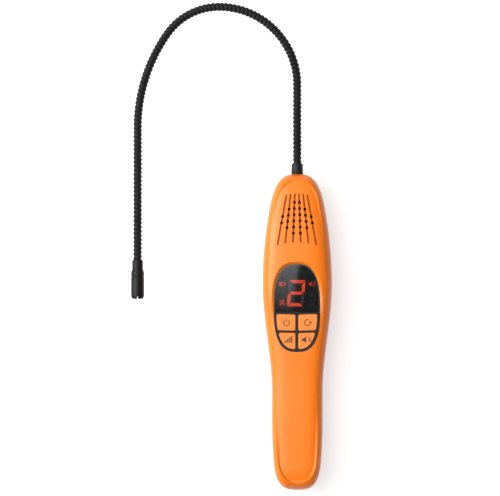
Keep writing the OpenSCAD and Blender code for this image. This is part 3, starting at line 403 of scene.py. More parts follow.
class NodeSheet:
    """A material's node tree, with the few steps that the finishes share."""

    # Most of a noise pattern lies between these values.
    LOW = 0.3
    HIGH = 0.7

    def __init__(self, name: str) -> None:
        """Starts a material with a plain shader."""
        self.material = bpy.data.materials.new(name)
        self.material.use_nodes = True
        self.nodes = self.material.node_tree.nodes
        self.links = self.material.node_tree.links
        self.shader = self.nodes["Principled BSDF"]
        self.where = self.nodes.new("ShaderNodeTexCoord").outputs["Object"]

    def set(self, **values: object) -> None:
        """Sets shader sockets, with underscores for spaces."""
        for key, value in values.items():
            socket = self.shader.inputs[key.replace("_", " ")]
            socket.default_value = (*value, 1.0) if isinstance(value, tuple) and len(value) == 3 else value

    def noise(self, scale: float, detail: float = 3, stretch: Triple = (1, 1, 1)) -> Socket:
        """Adds a noise pattern.

        Args:
            scale: Features per metre.
            detail: Layers of finer noise.
            stretch: Scale along each axis.

        Returns:
            The socket with the noise value.
        """
        where = self.where
        if stretch != (1, 1, 1):
            mapping = self.nodes.new("ShaderNodeMapping")
            mapping.inputs["Scale"].default_value = stretch
            self.links.new(where, mapping.inputs["Vector"])
            where = mapping.outputs["Vector"]
        node = self.nodes.new("ShaderNodeTexNoise")
        node.inputs["Scale"].default_value = scale
        node.inputs["Detail"].default_value = detail
        self.links.new(where, node.inputs["Vector"])
        return node.outputs["Fac"]

    def range(self, value: Socket, low: float, high: float,
              from_low: float = LOW, from_high: float = HIGH) -> Socket:
        """Maps a pattern's middle values to a range."""
        node = self.nodes.new("ShaderNodeMapRange")
        for key, v in (("From Min", from_low), ("From Max", from_high), ("To Min", low), ("To Max", high)):
            node.inputs[key].default_value = v
        self.links.new(value, node.inputs["Value"])
        return node.outputs["Result"]

    def ramp(self, value: Socket, stops: Sequence[tuple[float, Colour]]) -> Socket:
        """Maps a pattern to colours."""
        node = self.nodes.new("ShaderNodeValToRGB")
        ramp = node.color_ramp
        while len(ramp.elements) < len(stops):
            ramp.elements.new(1.0)
        for element, (at, colour) in zip(ramp.elements, stops):
            element.position = at
            element.color = (*colour, 1.0)
        self.links.new(value, node.inputs["Fac"])
        return node.outputs["Color"]

    def mottle(self, value: Socket, colour: Colour, darker: float, lighter: float) -> Socket:
        """Maps a pattern's middle values to a darker and a lighter tint of a colour."""
        return self.ramp(value, [(self.LOW, tinted(colour, -darker)), (self.HIGH, tinted(colour, lighter))])

    def feed(self, value: Socket, socket: str) -> None:
        """Leads a pattern into a shader socket."""
        self.links.new(value, self.shader.inputs[socket])

    def bump(self, height: Socket, depth: float, strength: float = 1.0) -> None:
        """Turns a pattern into relief of a depth in millimetres."""
        node = self.nodes.new("ShaderNodeBump")
        node.inputs["Strength"].default_value = strength
        node.inputs["Distance"].default_value = depth * MM
        self.links.new(height, node.inputs["Height"])
        self.links.new(node.outputs["Normal"], self.shader.inputs["Normal"])


@dataclass(frozen=True)
class MouldedPlastic:
    """Satin moulded plastic with a fine spark-eroded grain."""

    name: str
    colour: Colour
    rough: float = 0.42
    spread: float = 0.06
    tone: float = 0.05
    grain: float = 1900
    depth: float = 0.02
    shine: float = 0.5

    def make(self) -> bpy.types.Material:
        """Builds the material."""
        sheet = NodeSheet(self.name)
        cloud = sheet.noise(scale=38, detail=4)
        sheet.feed(sheet.mottle(cloud, self.colour, self.tone, self.tone), "Base Color")
        fine = sheet.noise(self.grain, detail=2)
        sheet.feed(sheet.range(fine, self.rough - self.spread, self.rough + self.spread), "Roughness")
        sheet.bump(fine, self.depth, strength=0.6)
        sheet.set(Specular_IOR_Level=self.shine)
        return sheet.material


@dataclass(frozen=True)
class SmokedLens:
    """Dark clear plastic over the display."""

    name: str
    colour: Colour

    def make(self) -> bpy.types.Material:
        """Builds the material."""
        sheet = NodeSheet(self.name)
        sheet.set(Base_Color=self.colour, Transmission_Weight=1.0, IOR=1.45)
        smear = sheet.noise(scale=90, stretch=(1, 0.3, 1))
        sheet.feed(sheet.range(smear, low=0.015, high=0.04), "Roughness")
        sheet.bump(sheet.noise(scale=160, detail=2), depth=0.004, strength=0.3)
        return sheet.material


@dataclass(frozen=True)
class LightWindow:
    """Coloured diffuser of a segment or icon, lit or unlit."""

    name: str
    colour: Colour
    glow: float

    def make(self) -> bpy.types.Material:
        """Builds the material."""
        sheet = NodeSheet(self.name)
        grain = sheet.noise(scale=900)
        tone = sheet.mottle(grain, self.colour, darker=0.1, lighter=0.06)
        sheet.feed(tone, "Base Color")
        sheet.feed(sheet.range(grain, low=0.35, high=0.5), "Roughness")
        if self.glow > 0:
            sheet.feed(tone, "Emission Color")
            sheet.set(Emission_Strength=self.glow)
        return sheet.material


@dataclass(frozen=True)
class DrawnMetal:
    """Metal with fine drawing marks along one axis."""

    name: str
    colour: Colour
    rough: float = 0.3
    stretch: Triple = (1, 0.08, 1)

    def make(self) -> bpy.types.Material:
        """Builds the material."""
        sheet = NodeSheet(self.name)
        marks = sheet.noise(scale=2600, stretch=self.stretch)
        sheet.feed(sheet.mottle(marks, self.colour, darker=0.12, lighter=0.08), "Base Color")
        sheet.feed(sheet.range(marks, low=self.rough - 0.08, high=self.rough + 0.12), "Roughness")
        sheet.bump(marks, depth=0.008, strength=0.5)
        sheet.set(Metallic=1.0)
        return sheet.material


@dataclass(frozen=True)
class CircuitBoard:
    """Green solder mask over a faint net of tracks."""

    name: str
    track: Colour = (0.02, 0.16, 0.06)
    mask: Colour = (0.01, 0.08, 0.03)
    cells: float = 420

    def make(self) -> bpy.types.Material:
        """Builds the material."""
        sheet = NodeSheet(self.name)
        cells = sheet.nodes.new("ShaderNodeTexVoronoi")
        cells.distance = "MANHATTAN"
        cells.inputs["Scale"].default_value = self.cells
        sheet.links.new(sheet.where, cells.inputs["Vector"])
        tracks = cells.outputs["Distance"]
        sheet.feed(sheet.ramp(tracks, [(0.25, self.track), (0.32, self.mask)]), "Base Color")
        sheet.feed(sheet.range(tracks, low=0.3, high=0.45, from_low=0.1, from_high=0.6), "Roughness")
        sheet.bump(tracks, depth=0.03, strength=0.4)
        return sheet.material


@dataclass(frozen=True)
class CellSleeve:
    """Printed sleeve of a battery cell with a copper band at its positive end."""

    name: str
    low: float
    high: float
    positive_high: bool
    ink: Colour = (0.012, 0.012, 0.014)
    copper: Colour = (0.55, 0.25, 0.09)
    copper_end: Colour = (0.6, 0.28, 0.1)
    steel: Colour = (0.6, 0.6, 0.6)

    def make(self) -> bpy.types.Material:
        """Builds the material."""
        sheet = NodeSheet(self.name)
        split = sheet.nodes.new("ShaderNodeSeparateXYZ")
        sheet.links.new(sheet.where, split.inputs["Vector"])
        near, far = (self.low, self.high) if self.positive_high else (self.high, self.low)
        share = sheet.range(split.outputs["Y"], low=0.0, high=1.0, from_low=near * MM, from_high=far * MM)
        band = sheet.ramp(share, [(0.0, self.ink), (0.715, self.ink), (0.72, self.copper),
                                  (0.965, self.copper_end), (0.97, self.steel)])
        sheet.feed(band, "Base Color")
        fine = sheet.noise(scale=1500, detail=2)
        sheet.feed(sheet.range(fine, low=0.22, high=0.34), "Roughness")
        sheet.bump(fine, depth=0.006, strength=0.4)
        sheet.set(Coat_Weight=0.4, Metallic=0.35)
        return sheet.material


Finish = MouldedPlastic | SmokedLens | LightWindow | DrawnMetal | CircuitBoard | CellSleeve


@cache
def finished(finish: Finish) -> bpy.types.Material:
    """Builds a finish on first use and keeps it."""
    return finish.make()


class Tone(Enum):
    """Finishes of the object, each built once."""

    # Moulded: name, colour, roughness, its spread, spread of tone, grain per metre, its depth in mm, shine.
    # Lit or unlit: name, colour, glow. Metal: name, colour, roughness, stretch of its marks.
    HOUSING = MouldedPlastic("housing_orange", srgb(250, 125, 18), 0.35, 0.05, 0.03, 1700, 0.016, 0.42)
    # Painted shade: a darker brown on the walls and floors of the grooves and sound holes stands in for the
    # shade that falls in them.
    GROOVE = MouldedPlastic("groove_shade", srgb(182, 88, 38), 0.6, 0.05, 0.06, 1700, 0.016, 0.3)
    KEY = MouldedPlastic("key_orange", srgb(240, 134, 46), 0.45, 0.05, 0.03, 2200, 0.012)
    PANEL = MouldedPlastic("panel_black", srgb(26, 26, 30), 0.48, 0.06, 0.08, 2000, 0.02, 0.35)
    COLLAR = MouldedPlastic("collar_black", srgb(22, 22, 24), 0.5, 0.07, 0.1, 1600, 0.03, 0.3)
    NECK = MouldedPlastic("neck_black", srgb(22, 22, 24), 0.46, 0.08, 0.12, 1300, 0.015, 0.18)
    PROBE = MouldedPlastic("probe_black", srgb(17, 17, 19), 0.42, 0.06, 0.1, 1800, 0.02, 0.2)
    INK = MouldedPlastic("legend_brown", srgb(84, 42, 12), 0.55, 0.05, 0.1, 2600, 0.006)
    CHIP = MouldedPlastic("chip_black", srgb(40, 40, 42), 0.55, 0.06, 0.1, 2400, 0.02)
    NYLON = MouldedPlastic("nylon_white", srgb(232, 228, 214), 0.5, 0.06, 0.04, 1500, 0.02)
    PAPER = MouldedPlastic("cone_paper", srgb(44, 41, 38), 0.8, 0.08, 0.15, 900, 0.06)
    LEAD = MouldedPlastic("lead_grey", srgb(70, 70, 73), 0.55, 0.06, 0.08, 1500, 0.02)
    DISPLAY = MouldedPlastic("display_black", srgb(14, 14, 15), 0.5, 0.06, 0.1, 1800, 0.01)
    SEAL = MouldedPlastic("seal_rubber", srgb(30, 30, 30), 0.7, 0.08, 0.1, 1700, 0.03)
    LENS = SmokedLens("smoked_lens", (0.32, 0.32, 0.335))
    LIT = LightWindow("window_lit", srgb(240, 74, 36), 2.2)
    ICON = LightWindow("icon_lit", srgb(232, 58, 34), 1.7)
    DARK = LightWindow("window_dark", srgb(150, 150, 154), 0.0)
    FAINT = LightWindow("icon_dark", srgb(112, 112, 116), 0.0)
    STEEL = DrawnMetal("zinc_steel", (0.6, 0.6, 0.62))
    NICKEL = DrawnMetal("nickel_strip", (0.66, 0.63, 0.56), 0.26)
    BRASS = DrawnMetal("turned_brass", (0.7, 0.48, 0.18), 0.28, (0.1, 1, 0.1))
    MAGNET = DrawnMetal("magnet_grey", (0.2, 0.2, 0.21), 0.5, (1, 1, 1))
    BOARD = CircuitBoard("solder_mask")

    @property
    def material(self) -> bpy.types.Material:
        """The built material."""
        return finished(self.value)


@dataclass(frozen=True)
class HandleForm:
    """The handle's outline, sections and front relief.

    A pair of ends holds how far a rounding reaches at the top and at the tail. A sunken face's rim and face
    are distances in from the handle's end, and its step, run and reach are lengths from there.
    """

    body_len: float = 229
    head_w: float = 50.4
    head_from_top: float = 80.5
    shoulder_w: float = 35.8
    shoulder_from_top: float = 14
    grip_w: float = 36.8
    grip_top_from_tail: float = 71
    grip_end_from_tail: float = 50
    tail_w: float = 30.2
    head_z: float = 38
    grip_z: float = 34.5
    top_z: float = 36
    part_z: float = 19
    wall: float = 2.2
    rim_w: float = 3.2
    step_w: float = 1.8
    scoop_depth: float = 1.9
    sounder_depth: float = 1.2
    front_power: float = 4
    back_power: float = 5
    outline_power: float = 3.4
    end_power: float = 2.6
    back_sink: float = 2
    top_land: float = 5
    tail_land: float = 4
    seam: float = 0.18
    outline_ends: Point = (26.5, 24.5)
    front_ends: Point = (15, 20)
    back_ends: Point = (36, 24)
    scoop_rim: float = 4.2
    scoop_step: float = 3.6
    scoop_run: float = 68
    scoop_face: float = 5.4
    scoop_reach: float = 17
    sounder_rim: float = 4.4
    sounder_step: float = 3.0
    sounder_run: float = 54
    sounder_face: float = 5.2
    sounder_reach: float = 16
    least_face: float = 0.3
    even_rows: float = 0.4

    @property
    def top_y(self) -> float:
        """Place of the top end."""
        return self.body_len / 2

    @property
    def tail_y(self) -> float:
        """Place of the tail end."""
        return -self.body_len / 2

    @property
    def head_y(self) -> float:
        """Place of the widest part of the head."""
        return self.top_y - self.head_from_top

    def round_in(self, d: float, n: float) -> float:
        """Share of the size left at a share of an end's rounding."""
        return 1.0 if d >= 1 else (1 - (1 - max(d, 0.0)) ** n) ** (1 / n)

    def end_round(self, y: float, ends: Point, n: float) -> float:
        """Rounding at a place along the handle, from its reach at the top and at the tail."""
        top, tail = ends
        return min(self.round_in((self.top_y - y) / top, n), self.round_in((y - self.tail_y) / tail, n))

    def land(self, y: float) -> float:
        """Half size of the small flat at the nearer end."""
        return self.top_land if y > 0 else self.tail_land

    def waist(self, y: float, low: float, high: float) -> float:
        """Eases a size from the grip to the head."""
        grip_y = self.tail_y + self.grip_top_from_tail
        return low + (high - low) * smooth_step((y - grip_y) / (self.head_y - grip_y))

    def spine_w(self, y: float) -> float:
        """Half width before the ends are rounded."""
        end_y = self.tail_y + self.grip_end_from_tail
        if y >= self.head_y:
            t = (y - self.head_y) / (self.head_from_top - self.shoulder_from_top)
            return self.head_w / 2 - (self.head_w - self.shoulder_w) / 2 * t * t
        if y >= end_y:
            return self.waist(y, self.grip_w / 2, self.head_w / 2)
        t = (end_y - y) / self.grip_end_from_tail
        return self.grip_w / 2 - (self.grip_w - self.tail_w) / 2 * t * t

    def half_w(self, y: float) -> float:
        """Half width of the outline."""
        return max(self.land(y), self.spine_w(y) * self.end_round(y, self.outline_ends, self.outline_power))

    def front_h(self, y: float) -> float:
        """Height of the front crest above the parting plane."""
        if y >= self.head_y:
            crest = self.head_z - (self.head_z - self.top_z) * ((y - self.head_y) / self.head_from_top) ** 2
        else:
            crest = self.waist(y, self.grip_z, self.head_z)
        return max(self.land(y), (crest - self.part_z) * self.end_round(y, self.front_ends, self.end_power))

    def back_h(self, y: float) -> float:
        """Depth of the back below the parting plane, before its flat."""
        full = self.part_z + self.back_sink
        return max(self.land(y), full * self.end_round(y, self.back_ends, self.end_power))

    @staticmethod
    def dip(d: float, depth: float, step: float, run: float) -> float:
        """Depth of a sunken face that steps down at its rim and runs out further in."""
        return depth * smooth_step(d / step) * (1 - smooth_step(d / run))

    def relief(self, y: float) -> float:
        """Depth of the sunken faces of the front."""
        low = y - self.tail_y - self.scoop_rim
        high = self.top_y - self.sounder_rim - y
        return (self.dip(low, self.scoop_depth, self.scoop_step, self.scoop_run)
                + self.dip(high, self.sounder_depth, self.sounder_step, self.sounder_run))

    def face_w(self, y: float) -> float:
        """Half width of the sunken faces."""
        d = min((self.top_y - self.sounder_face - y) / self.sounder_reach,
                (y - self.tail_y - self.scoop_face) / self.scoop_reach)
        face = (self.spine_w(y) - self.rim_w) * self.round_in(d, self.end_power)
        return max(self.step_w + self.least_face, min(face, self.half_w(y) - self.rim_w))

    def over(self, x: float, a: float, h: float, n: float) -> float:
        """Height of a rounded section at a distance from its middle."""
        return h * max(0.0, 1 - min(1.0, abs(x) / a) ** n) ** (1 / n)

    def front_z(self, x: float, y: float) -> float:
        """Height of the front surface."""
        return (self.part_z + self.over(x, self.half_w(y), self.front_h(y), self.front_power)
                - self.relief(y) * smooth_step((self.face_w(y) - abs(x)) / self.step_w))

    def station(self, share: float, inset: float = 0.0) -> float:
        """Place along the handle for a share of its length, closer together at the ends."""
        eased = self.even_rows * share + (1 - self.even_rows) * (1 - math.cos(math.pi * share)) / 2
        return self.tail_y + inset + (self.body_len - 2 * inset) * eased


class Shells:
    """The two halves of the housing and the battery door."""

    ROWS = 190
    COLS = 76
    # Shares of a half section: the front's sunken face, step and side, then the back's flat and round.
    FACE_SHARE = 0.36
    STEP_SHARE = 0.16
    SIDE_SHARE = 0.48
    FLAT_SHARE = 0.3
    ROUND_SHARE = 0.7
    LEAST_FLAT = 0.35
    LAND_WALL = 2
    COLLAR_R = 3.9
    COLLAR_IN = 4
    COLLAR_LEN = 6
    SMOOTH = 32

    def __init__(self, form: HandleForm, panel: "Panel", grille: "Grille") -> None:
        """Keeps the forms that the shells are made from."""
        self.form = form
        self.panel = panel
        self.grille = grille

    def along(self, share: float, inset: float = 0.0) -> tuple[float, bool]:
        """Place of a row and whether it closes an end.

        Args:
            share: Share along the grid.
            inset: Distance that the surface stops short of each end.

        Returns:
            The place along the handle, and whether the row lies flat on the parting plane.
        """
        i = round(share * self.ROWS)
        ends = i in (0, self.ROWS)
        return self.form.station(clamp01((i - 1) / (self.ROWS - 2)), inset), ends

    def front_half(self, c: float, y: float) -> Point:
        """Distance from the middle and height of the front's section at a share of its half girth."""
        f = self.form
        a, h, inner = f.half_w(y), f.front_h(y), f.face_w(y)
        step_end = self.FACE_SHARE + self.STEP_SHARE
        if c <= self.FACE_SHARE:
            x = (inner - f.step_w) * c / self.FACE_SHARE
            return x, f.front_z(x, y)
        if c <= step_end:
            x = inner - f.step_w * (1 - (c - self.FACE_SHARE) / self.STEP_SHARE)
            return x, f.front_z(x, y)
        start = math.asin((inner / a) ** (f.front_power / 2))
        t = start + (math.pi / 2 - start) * (c - step_end) / self.SIDE_SHARE
        x = a * math.sin(t) ** (2 / f.front_power)
        return (x - f.seam if c >= 1 else x), f.part_z + h * max(0.0, math.cos(t)) ** (2 / f.front_power)

    def back_half(self, c: float, y: float) -> Point:
        """Distance from the middle and height of the back's section at a share of its half girth."""
        f = self.form
        a, h = f.half_w(y), f.back_h(y)
        flat = a * max(0.0, 1 - (f.part_z / max(h, f.part_z)) ** f.back_power) ** (1 / f.back_power)
        flat = max(flat, self.LEAST_FLAT * a)
        if c <= self.FLAT_SHARE:
            x = flat * c / self.FLAT_SHARE
            return x, max(0.0, f.part_z - f.over(x, a, h, f.back_power))
        start = math.asin((flat / a) ** (f.back_power / 2))
        t = start + (math.pi / 2 - start) * (c - self.FLAT_SHARE) / self.ROUND_SHARE
        x = a * math.sin(t) ** (2 / f.back_power)
        z = max(0.0, f.part_z - h * max(0.0, math.cos(t)) ** (2 / f.back_power))
        return (x - f.seam if c >= 1 else x), z

    def inside_half(self, c: float, y: float, front: bool) -> Point:
        """Distance from the middle and height of the inner wall's section."""
        f = self.form
        least = f.top_land - self.LAND_WALL
        a = max(least, f.half_w(y) - f.wall)
        t = c * math.pi / 2
        if front:
            h, n, up = max(least, f.front_h(y) - f.wall - f.relief(y)), f.front_power, 1
        else:
            h, n, up = max(least, min(f.back_h(y) - f.wall, f.part_z - f.wall)), f.back_power, -1
        return a * math.sin(t) ** (2 / n), f.part_z + up * h * max(0.0, math.cos(t)) ** (2 / n)

    def half_shell(self, name: str, front: bool) -> Piece:
        """Makes one half of the housing with its wall.

        Args:
            name: Name of the piece.
            front: Whether it is the front half.

        Returns:
            The closed half shell without its openings.
        """
        f = self.form
        n = self.COLS + 1
        half = self.front_half if front else self.back_half

        def place(u: float, v: float) -> Vector:
            """Point of the wall, out over its outside and back along its inside."""
            k = round(u * 2 * n) % (2 * n)
            outside = k < n
            y, ends = self.along(v, 0.0 if outside else f.wall)
            c = 2 * (k if outside else 2 * n - 1 - k) / self.COLS - 1
            side = 1.0 if ends else abs(c)
            x, z = half(side, y) if outside else self.inside_half(side, y, front)
            return Vector((x * c, y, f.part_z) if ends else (math.copysign(x, c), y, z))
        return Bench.tube(name, 2 * n, self.ROWS, place)

    def collar_hole(self) -> Piece:
        """Cutter for the gooseneck's hole in the top end."""
        f = self.form
        start = (0, f.top_y - self.COLLAR_IN, f.part_z)
        return Bench.rod("collar_cut", start, "Y", self.COLLAR_LEN, self.COLLAR_R)

    def build_front(self) -> None:
        """Makes the front shell with its panel opening, grooves and sound holes."""
        shell = Bench.dress(self.half_shell("front_shell_skin", True), Tone.HOUSING.material)
        # Second slot: painted shade for the groove and hole faces that the grille's cutter leaves.
        shell.data.materials.append(Tone.GROOVE.material)
        ledge = self.panel.ledge()
        for cutter in (self.grille.cutter(), self.panel.opening(), self.collar_hole()):
            Bench.boolean(shell, cutter)
        Bench.join([shell, ledge])
        Bench.shade(shell, self.SMOOTH)
        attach(shell, "handle")
        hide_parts("front_shell")
        LOG.info("front shell: %d faces", len(shell.data.polygons))

    def build_back(self) -> None:
        """Makes the rear shell with its battery bay, door slot and screw seats."""
        f = self.form
        bay = Bay()
        shell = self.half_shell("rear_shell_skin", False)
        for x, y, z in bay.screw_seats:
            boss = Bench.rod("boss", (x, y, z), "Z", f.part_z - bay.boss_gap - z, bay.boss_r)
            Bench.boolean(shell, boss, "UNION")
        Bench.boolean(shell, Bench.block("bay_box", bay.box_low, bay.box_high), "UNION")
        Bench.boolean(shell, Bench.block("bay_cut", bay.room_low, bay.room_high))
        w = bay.door_half_w + bay.door_fit
        low_y, high_y = f.tail_y - bay.past_tail, bay.door_high_y + bay.door_fit
        cuts = (("door_cut", w, -bay.past), ("tongue_cut", w + bay.tongue_w, bay.tongue_z))
        for name, half, low_z in cuts:
            Bench.boolean(shell, Bench.block(name, (-half, low_y, low_z), (half, high_y, bay.door_top)))
        for x, y, _ in bay.screw_seats:
            Bench.boolean(shell, Bench.rod("seat_cut", (x, y, -bay.past), "Z", bay.seat_len, bay.seat_r))
        Bench.boolean(shell, self.collar_hole())
        Bench.shade(shell, self.SMOOTH)
        Bench.dress(shell, Tone.HOUSING.material)
        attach(shell, "handle")
        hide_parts("rear_shell")
        LOG.info("rear shell: %d faces", len(shell.data.polygons))

    def build_door(self) -> None:
        """Copies the battery door's solid, which has its thumb grooves, and dresses it."""
        door = Bench.copy_of("battery_door", "battery_door_skin")
        Bench.shade(door, angle=30)
        Bench.dress(door, Tone.HOUSING.material)
        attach(door, "battery_door_body")
        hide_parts("battery_door")
        LOG.info("battery door: %d faces", len(door.data.polygons))

    def build(self) -> None:
        """Makes the whole housing."""
        self.build_front()
        self.build_back()
        self.build_door()


@dataclass(frozen=True)
class Bay:
    """Battery bay and screw seats of the rear shell, with how far the cutters go past its surface."""

    half_w: float = 14.75
    low_y: float = -94.5
    high_y: float = 11.8
    top_z: float = 16.95
    wall: float = 1.3
    roof: float = 1.4
    floor_z: float = 1.1
    past: float = 1.0
    past_tail: float = 5
    door_gap: float = 0.4
    door_over: float = 1.5
    door_fit: float = 0.2
    door_top: float = 2.2
    tongue_w: float = 0.9
    tongue_z: float = 0.9
    boss_r: float = 3.9
    boss_gap: float = 0.4
    seat_r: float = 2.9
    seat_len: float = 9

    @property
    def door_half_w(self) -> float:
        """Half width of the door's plate."""
        return self.half_w - self.door_gap

    @property
    def door_high_y(self) -> float:
        """Place of the door's upper end."""
        return self.high_y + self.door_over

    @property
    def box_low(self) -> Triple:
        """Lowest corner of the bay's walls."""
        return -self.half_w - self.wall, self.low_y - self.wall, self.floor_z

    @property
    def box_high(self) -> Triple:
        """Highest corner of the bay's walls."""
        return self.half_w + self.wall, self.high_y + self.wall, self.top_z + self.roof

    @property
    def room_low(self) -> Triple:
        """Lowest corner of the space for the cells."""
        return -self.half_w, self.low_y, -self.past

    @property
    def room_high(self) -> Triple:
        """Highest corner of the space for the cells."""
        return self.half_w, self.high_y, self.top_z

    @property
    def screw_seats(self) -> list[Triple]:
        """Place and lowest height of each screw's boss."""
        return [(12.1, 97, 4.5), (-12.1, 97, 4.5), (19.0, 18.5, 4.2), (-19.0, 18.5, 4.2), (0, -101, 3.0)]


@dataclass(frozen=True)
class Panel:
    """The oval panel with its display lens, key bezel and keys.

    The low and high sizes of a key's cap, flange and stem are distances below the seat.
    """

    form: HandleForm
    half_w: float = 16.75
    half_len: float = 31.65
    from_top: float = 97.3
    face_z: float = 35.6
    seat_z: float = 34.2
    power: float = 2.7
    slope_w: float = 1.8
    split_below: float = 3.0
    border: float = 1.9
    gap: float = 2.0
    tilt: float = 1.5
    row_h: float = 11.7
    corner: float = 1.3
    proud: float = 0.8
    split_gap: float = 0.05
    lens_t: float = 1.1
    bar: float = 1.4
    bar_slack: float = 0.3
    row_gap: float = 0.8
    ledge_out: float = 1.5
    ledge_in: float = 0.9
    ledge_t: float = 1.7
    past: float = 1.0
    key_fit: float = 0.15
    key_edge: float = 0.5
    cap_low: float = 0.25
    flange_out: float = 0.3
    flange_low: float = 1.1
    flange_high: float = 0.2
    stem_low: float = 1.9
    stem_len: float = 1.2
    stem_r: float = 1.5
    smooth: float = 40

    @property
    def mid_y(self) -> float:
        """Place of the oval's middle."""
        return self.form.top_y - self.from_top

    @property
    def split_y(self) -> float:
        """Place of the line between lens and bezel."""
        return self.mid_y - self.split_below

    @property
    def key_mid_y(self) -> float:
        """Place of the line between the two rows of keys."""
        return self.split_y - self.bar - self.row_h - self.bar_slack

    def oval(self, grow: float, count: int = 160) -> list[Point]:
        """Outline of the panel, grown by a distance."""
        a, b = self.half_w + grow, self.half_len + grow
        points: list[Point] = []
        for i in range(count):
            t = 2 * math.pi * (i + 0.5) / count
            c, s = math.cos(t), math.sin(t)
            points.append((a * math.copysign(abs(c) ** (2 / self.power), c),
                           self.mid_y + b * math.copysign(abs(s) ** (2 / self.power), s)))
        return points

    def opening(self) -> Piece:
        """Cutter for the panel's opening, with a sloped ring of even width up to the front's surface."""
        count, start, fit, past = 160, 0.3, 0.1, 1.3
        below, above = 3.5, 9
        low, edge = self.oval(-start, count), self.oval(self.slope_w, count)

        def place(u: float, v: float) -> Vector:
            """Point of the cutter: its foot, the slope's start, the slope past the surface, or its top."""
            k = round(u * count) % count
            foot = Vector((*low[k], self.face_z - start))
            run = Vector((*edge[k], self.form.front_z(*edge[k]))) - foot
            wall, rim = foot + run * (start + fit) / (start + self.slope_w), foot + run * past
            rings = (Vector((wall.x, wall.y, self.seat_z - below)), wall, rim,
                     Vector((rim.x, rim.y, self.face_z + above)))
            return rings[round(v * 3)]
        return Bench.tube("opening_cut", count, 3, place)

    def ledge(self) -> Piece:
        """Inner ring that carries the lens and the bezel."""
        foot = self.seat_z - self.ledge_t
        low, high = self.seat_z - 3 * self.past, self.seat_z + self.past
        ring = Bench.prism("panel_ledge", self.oval(self.ledge_out), foot, self.seat_z)
        return Bench.boolean(ring, Bench.prism("ledge_cut", self.oval(-self.ledge_in), low, high))

    def key_outline(self, side: int, row: int, grow: float) -> list[Point]:
        """Outline of one key with round corners.

        Args:
            side: -1 for the left key, 1 for the right one.
            row: 1 for the upper row, 0 for the lower one.
            grow: Distance that the outline grows by.

        Returns:
            The corners in order.
        """
        lean = side * math.tan(math.radians(self.tilt))
        low = 0.0 if row else -2 * self.half_len
        high = self.row_h if row else -self.row_gap * self.gap
        outline = clip(self.oval(-self.border, count=120), (side * self.gap / 2, 0), (side, 0))
        outline = clip(outline, (0, self.key_mid_y + low), (-lean, 1))
        outline = clip(outline, (0, self.key_mid_y + high), (lean, -1))
        return rounded(outline, self.corner, self.corner + grow)

    def key_block(self, name: str, key: "KeySpot", grow: float, low: float, high: float) -> Piece:
        """A block of a key's outline."""
        return Bench.prism(name, self.key_outline(key.side, key.row, grow), low, high)

    def build_lens(self) -> None:
        """Makes the smoked lens over the display."""
        outline = clip(self.oval(0), (0, self.split_y + self.split_gap), (0, 1))
        lens = Bench.prism("display_window", outline, self.face_z - self.lens_t, self.face_z)
        Bench.soften(lens, width=0.1, segments=2, angle=60)
        Bench.even(Bench.shade(lens, self.smooth))
        Bench.dress(lens, Tone.LENS.material)
        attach(lens, "handle")
        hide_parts("display_lens")
        LOG.info("lens: %d faces", len(lens.data.polygons))

    def build_bezel(self) -> None:
        """Makes the black frame round the keys."""
        outline = clip(self.oval(0), (0, self.split_y - self.split_gap), (0, -1))
        bezel = Bench.prism("key_frame", outline, self.seat_z, self.face_z)
        low, high = self.seat_z - self.past, self.face_z + self.past
        for key in KeySpot:
            Bench.boolean(bezel, self.key_block("key_cut", key, self.key_fit, low, high))
        Bench.soften(bezel, width=0.12, segments=2, angle=60)
        Bench.even(Bench.shade(bezel, self.smooth))
        Bench.dress(bezel, Tone.PANEL.material)
        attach(bezel, "handle")
        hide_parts("keypad_bezel")
        LOG.info("bezel: %d faces", len(bezel.data.polygons))

    def build_key(self, key: "KeySpot") -> None:
        """Makes one key with its flange, stem and legend."""
        top = self.face_z + self.proud
        cap = self.key_block(f"{key.node}_cap", key, 0.0, self.seat_z - self.cap_low, top)
        with Bench.editing(cap):
            bpy.ops.mesh.select_mode(type="FACE")
            bpy.ops.mesh.select_all(action="DESELECT")
            mesh = bmesh.from_edit_mesh(cap.data)
            for face in mesh.faces:
                face.select_set(face.normal.z > 0.9)
            bmesh.update_edit_mesh(cap.data)
            bpy.ops.mesh.region_to_loop()
            bpy.ops.mesh.bevel(offset=self.key_edge * MM, segments=4, affect="EDGES")
        flange = self.key_block("flange", key, self.flange_out, self.seat_z - self.flange_low,
                                self.seat_z - self.flange_high)
        x, y = key.stem
        foot = (x, self.key_mid_y + y, self.seat_z - self.stem_low)
        stem = Bench.rod("stem", foot, "Z", self.stem_len, self.stem_r, sides=24)
        Bench.join([cap, flange, stem])
        Bench.even(Bench.shade(cap, self.smooth))
        Bench.dress(cap, Tone.KEY.material)
        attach(cap, key.body)
        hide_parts(key.node)
        legend = key.legend.draw(f"{key.node}_legend", (x, self.key_mid_y + y), top)
        Bench.dress(legend, Tone.INK.material)
        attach(legend, key.body)
        LOG.info("%s: %d faces", key.node, len(cap.data.polygons))

    def build(self) -> None:
        """Makes lens, bezel and keys."""
        self.build_lens()
        self.build_bezel()
        for key in KeySpot:
            self.build_key(key)


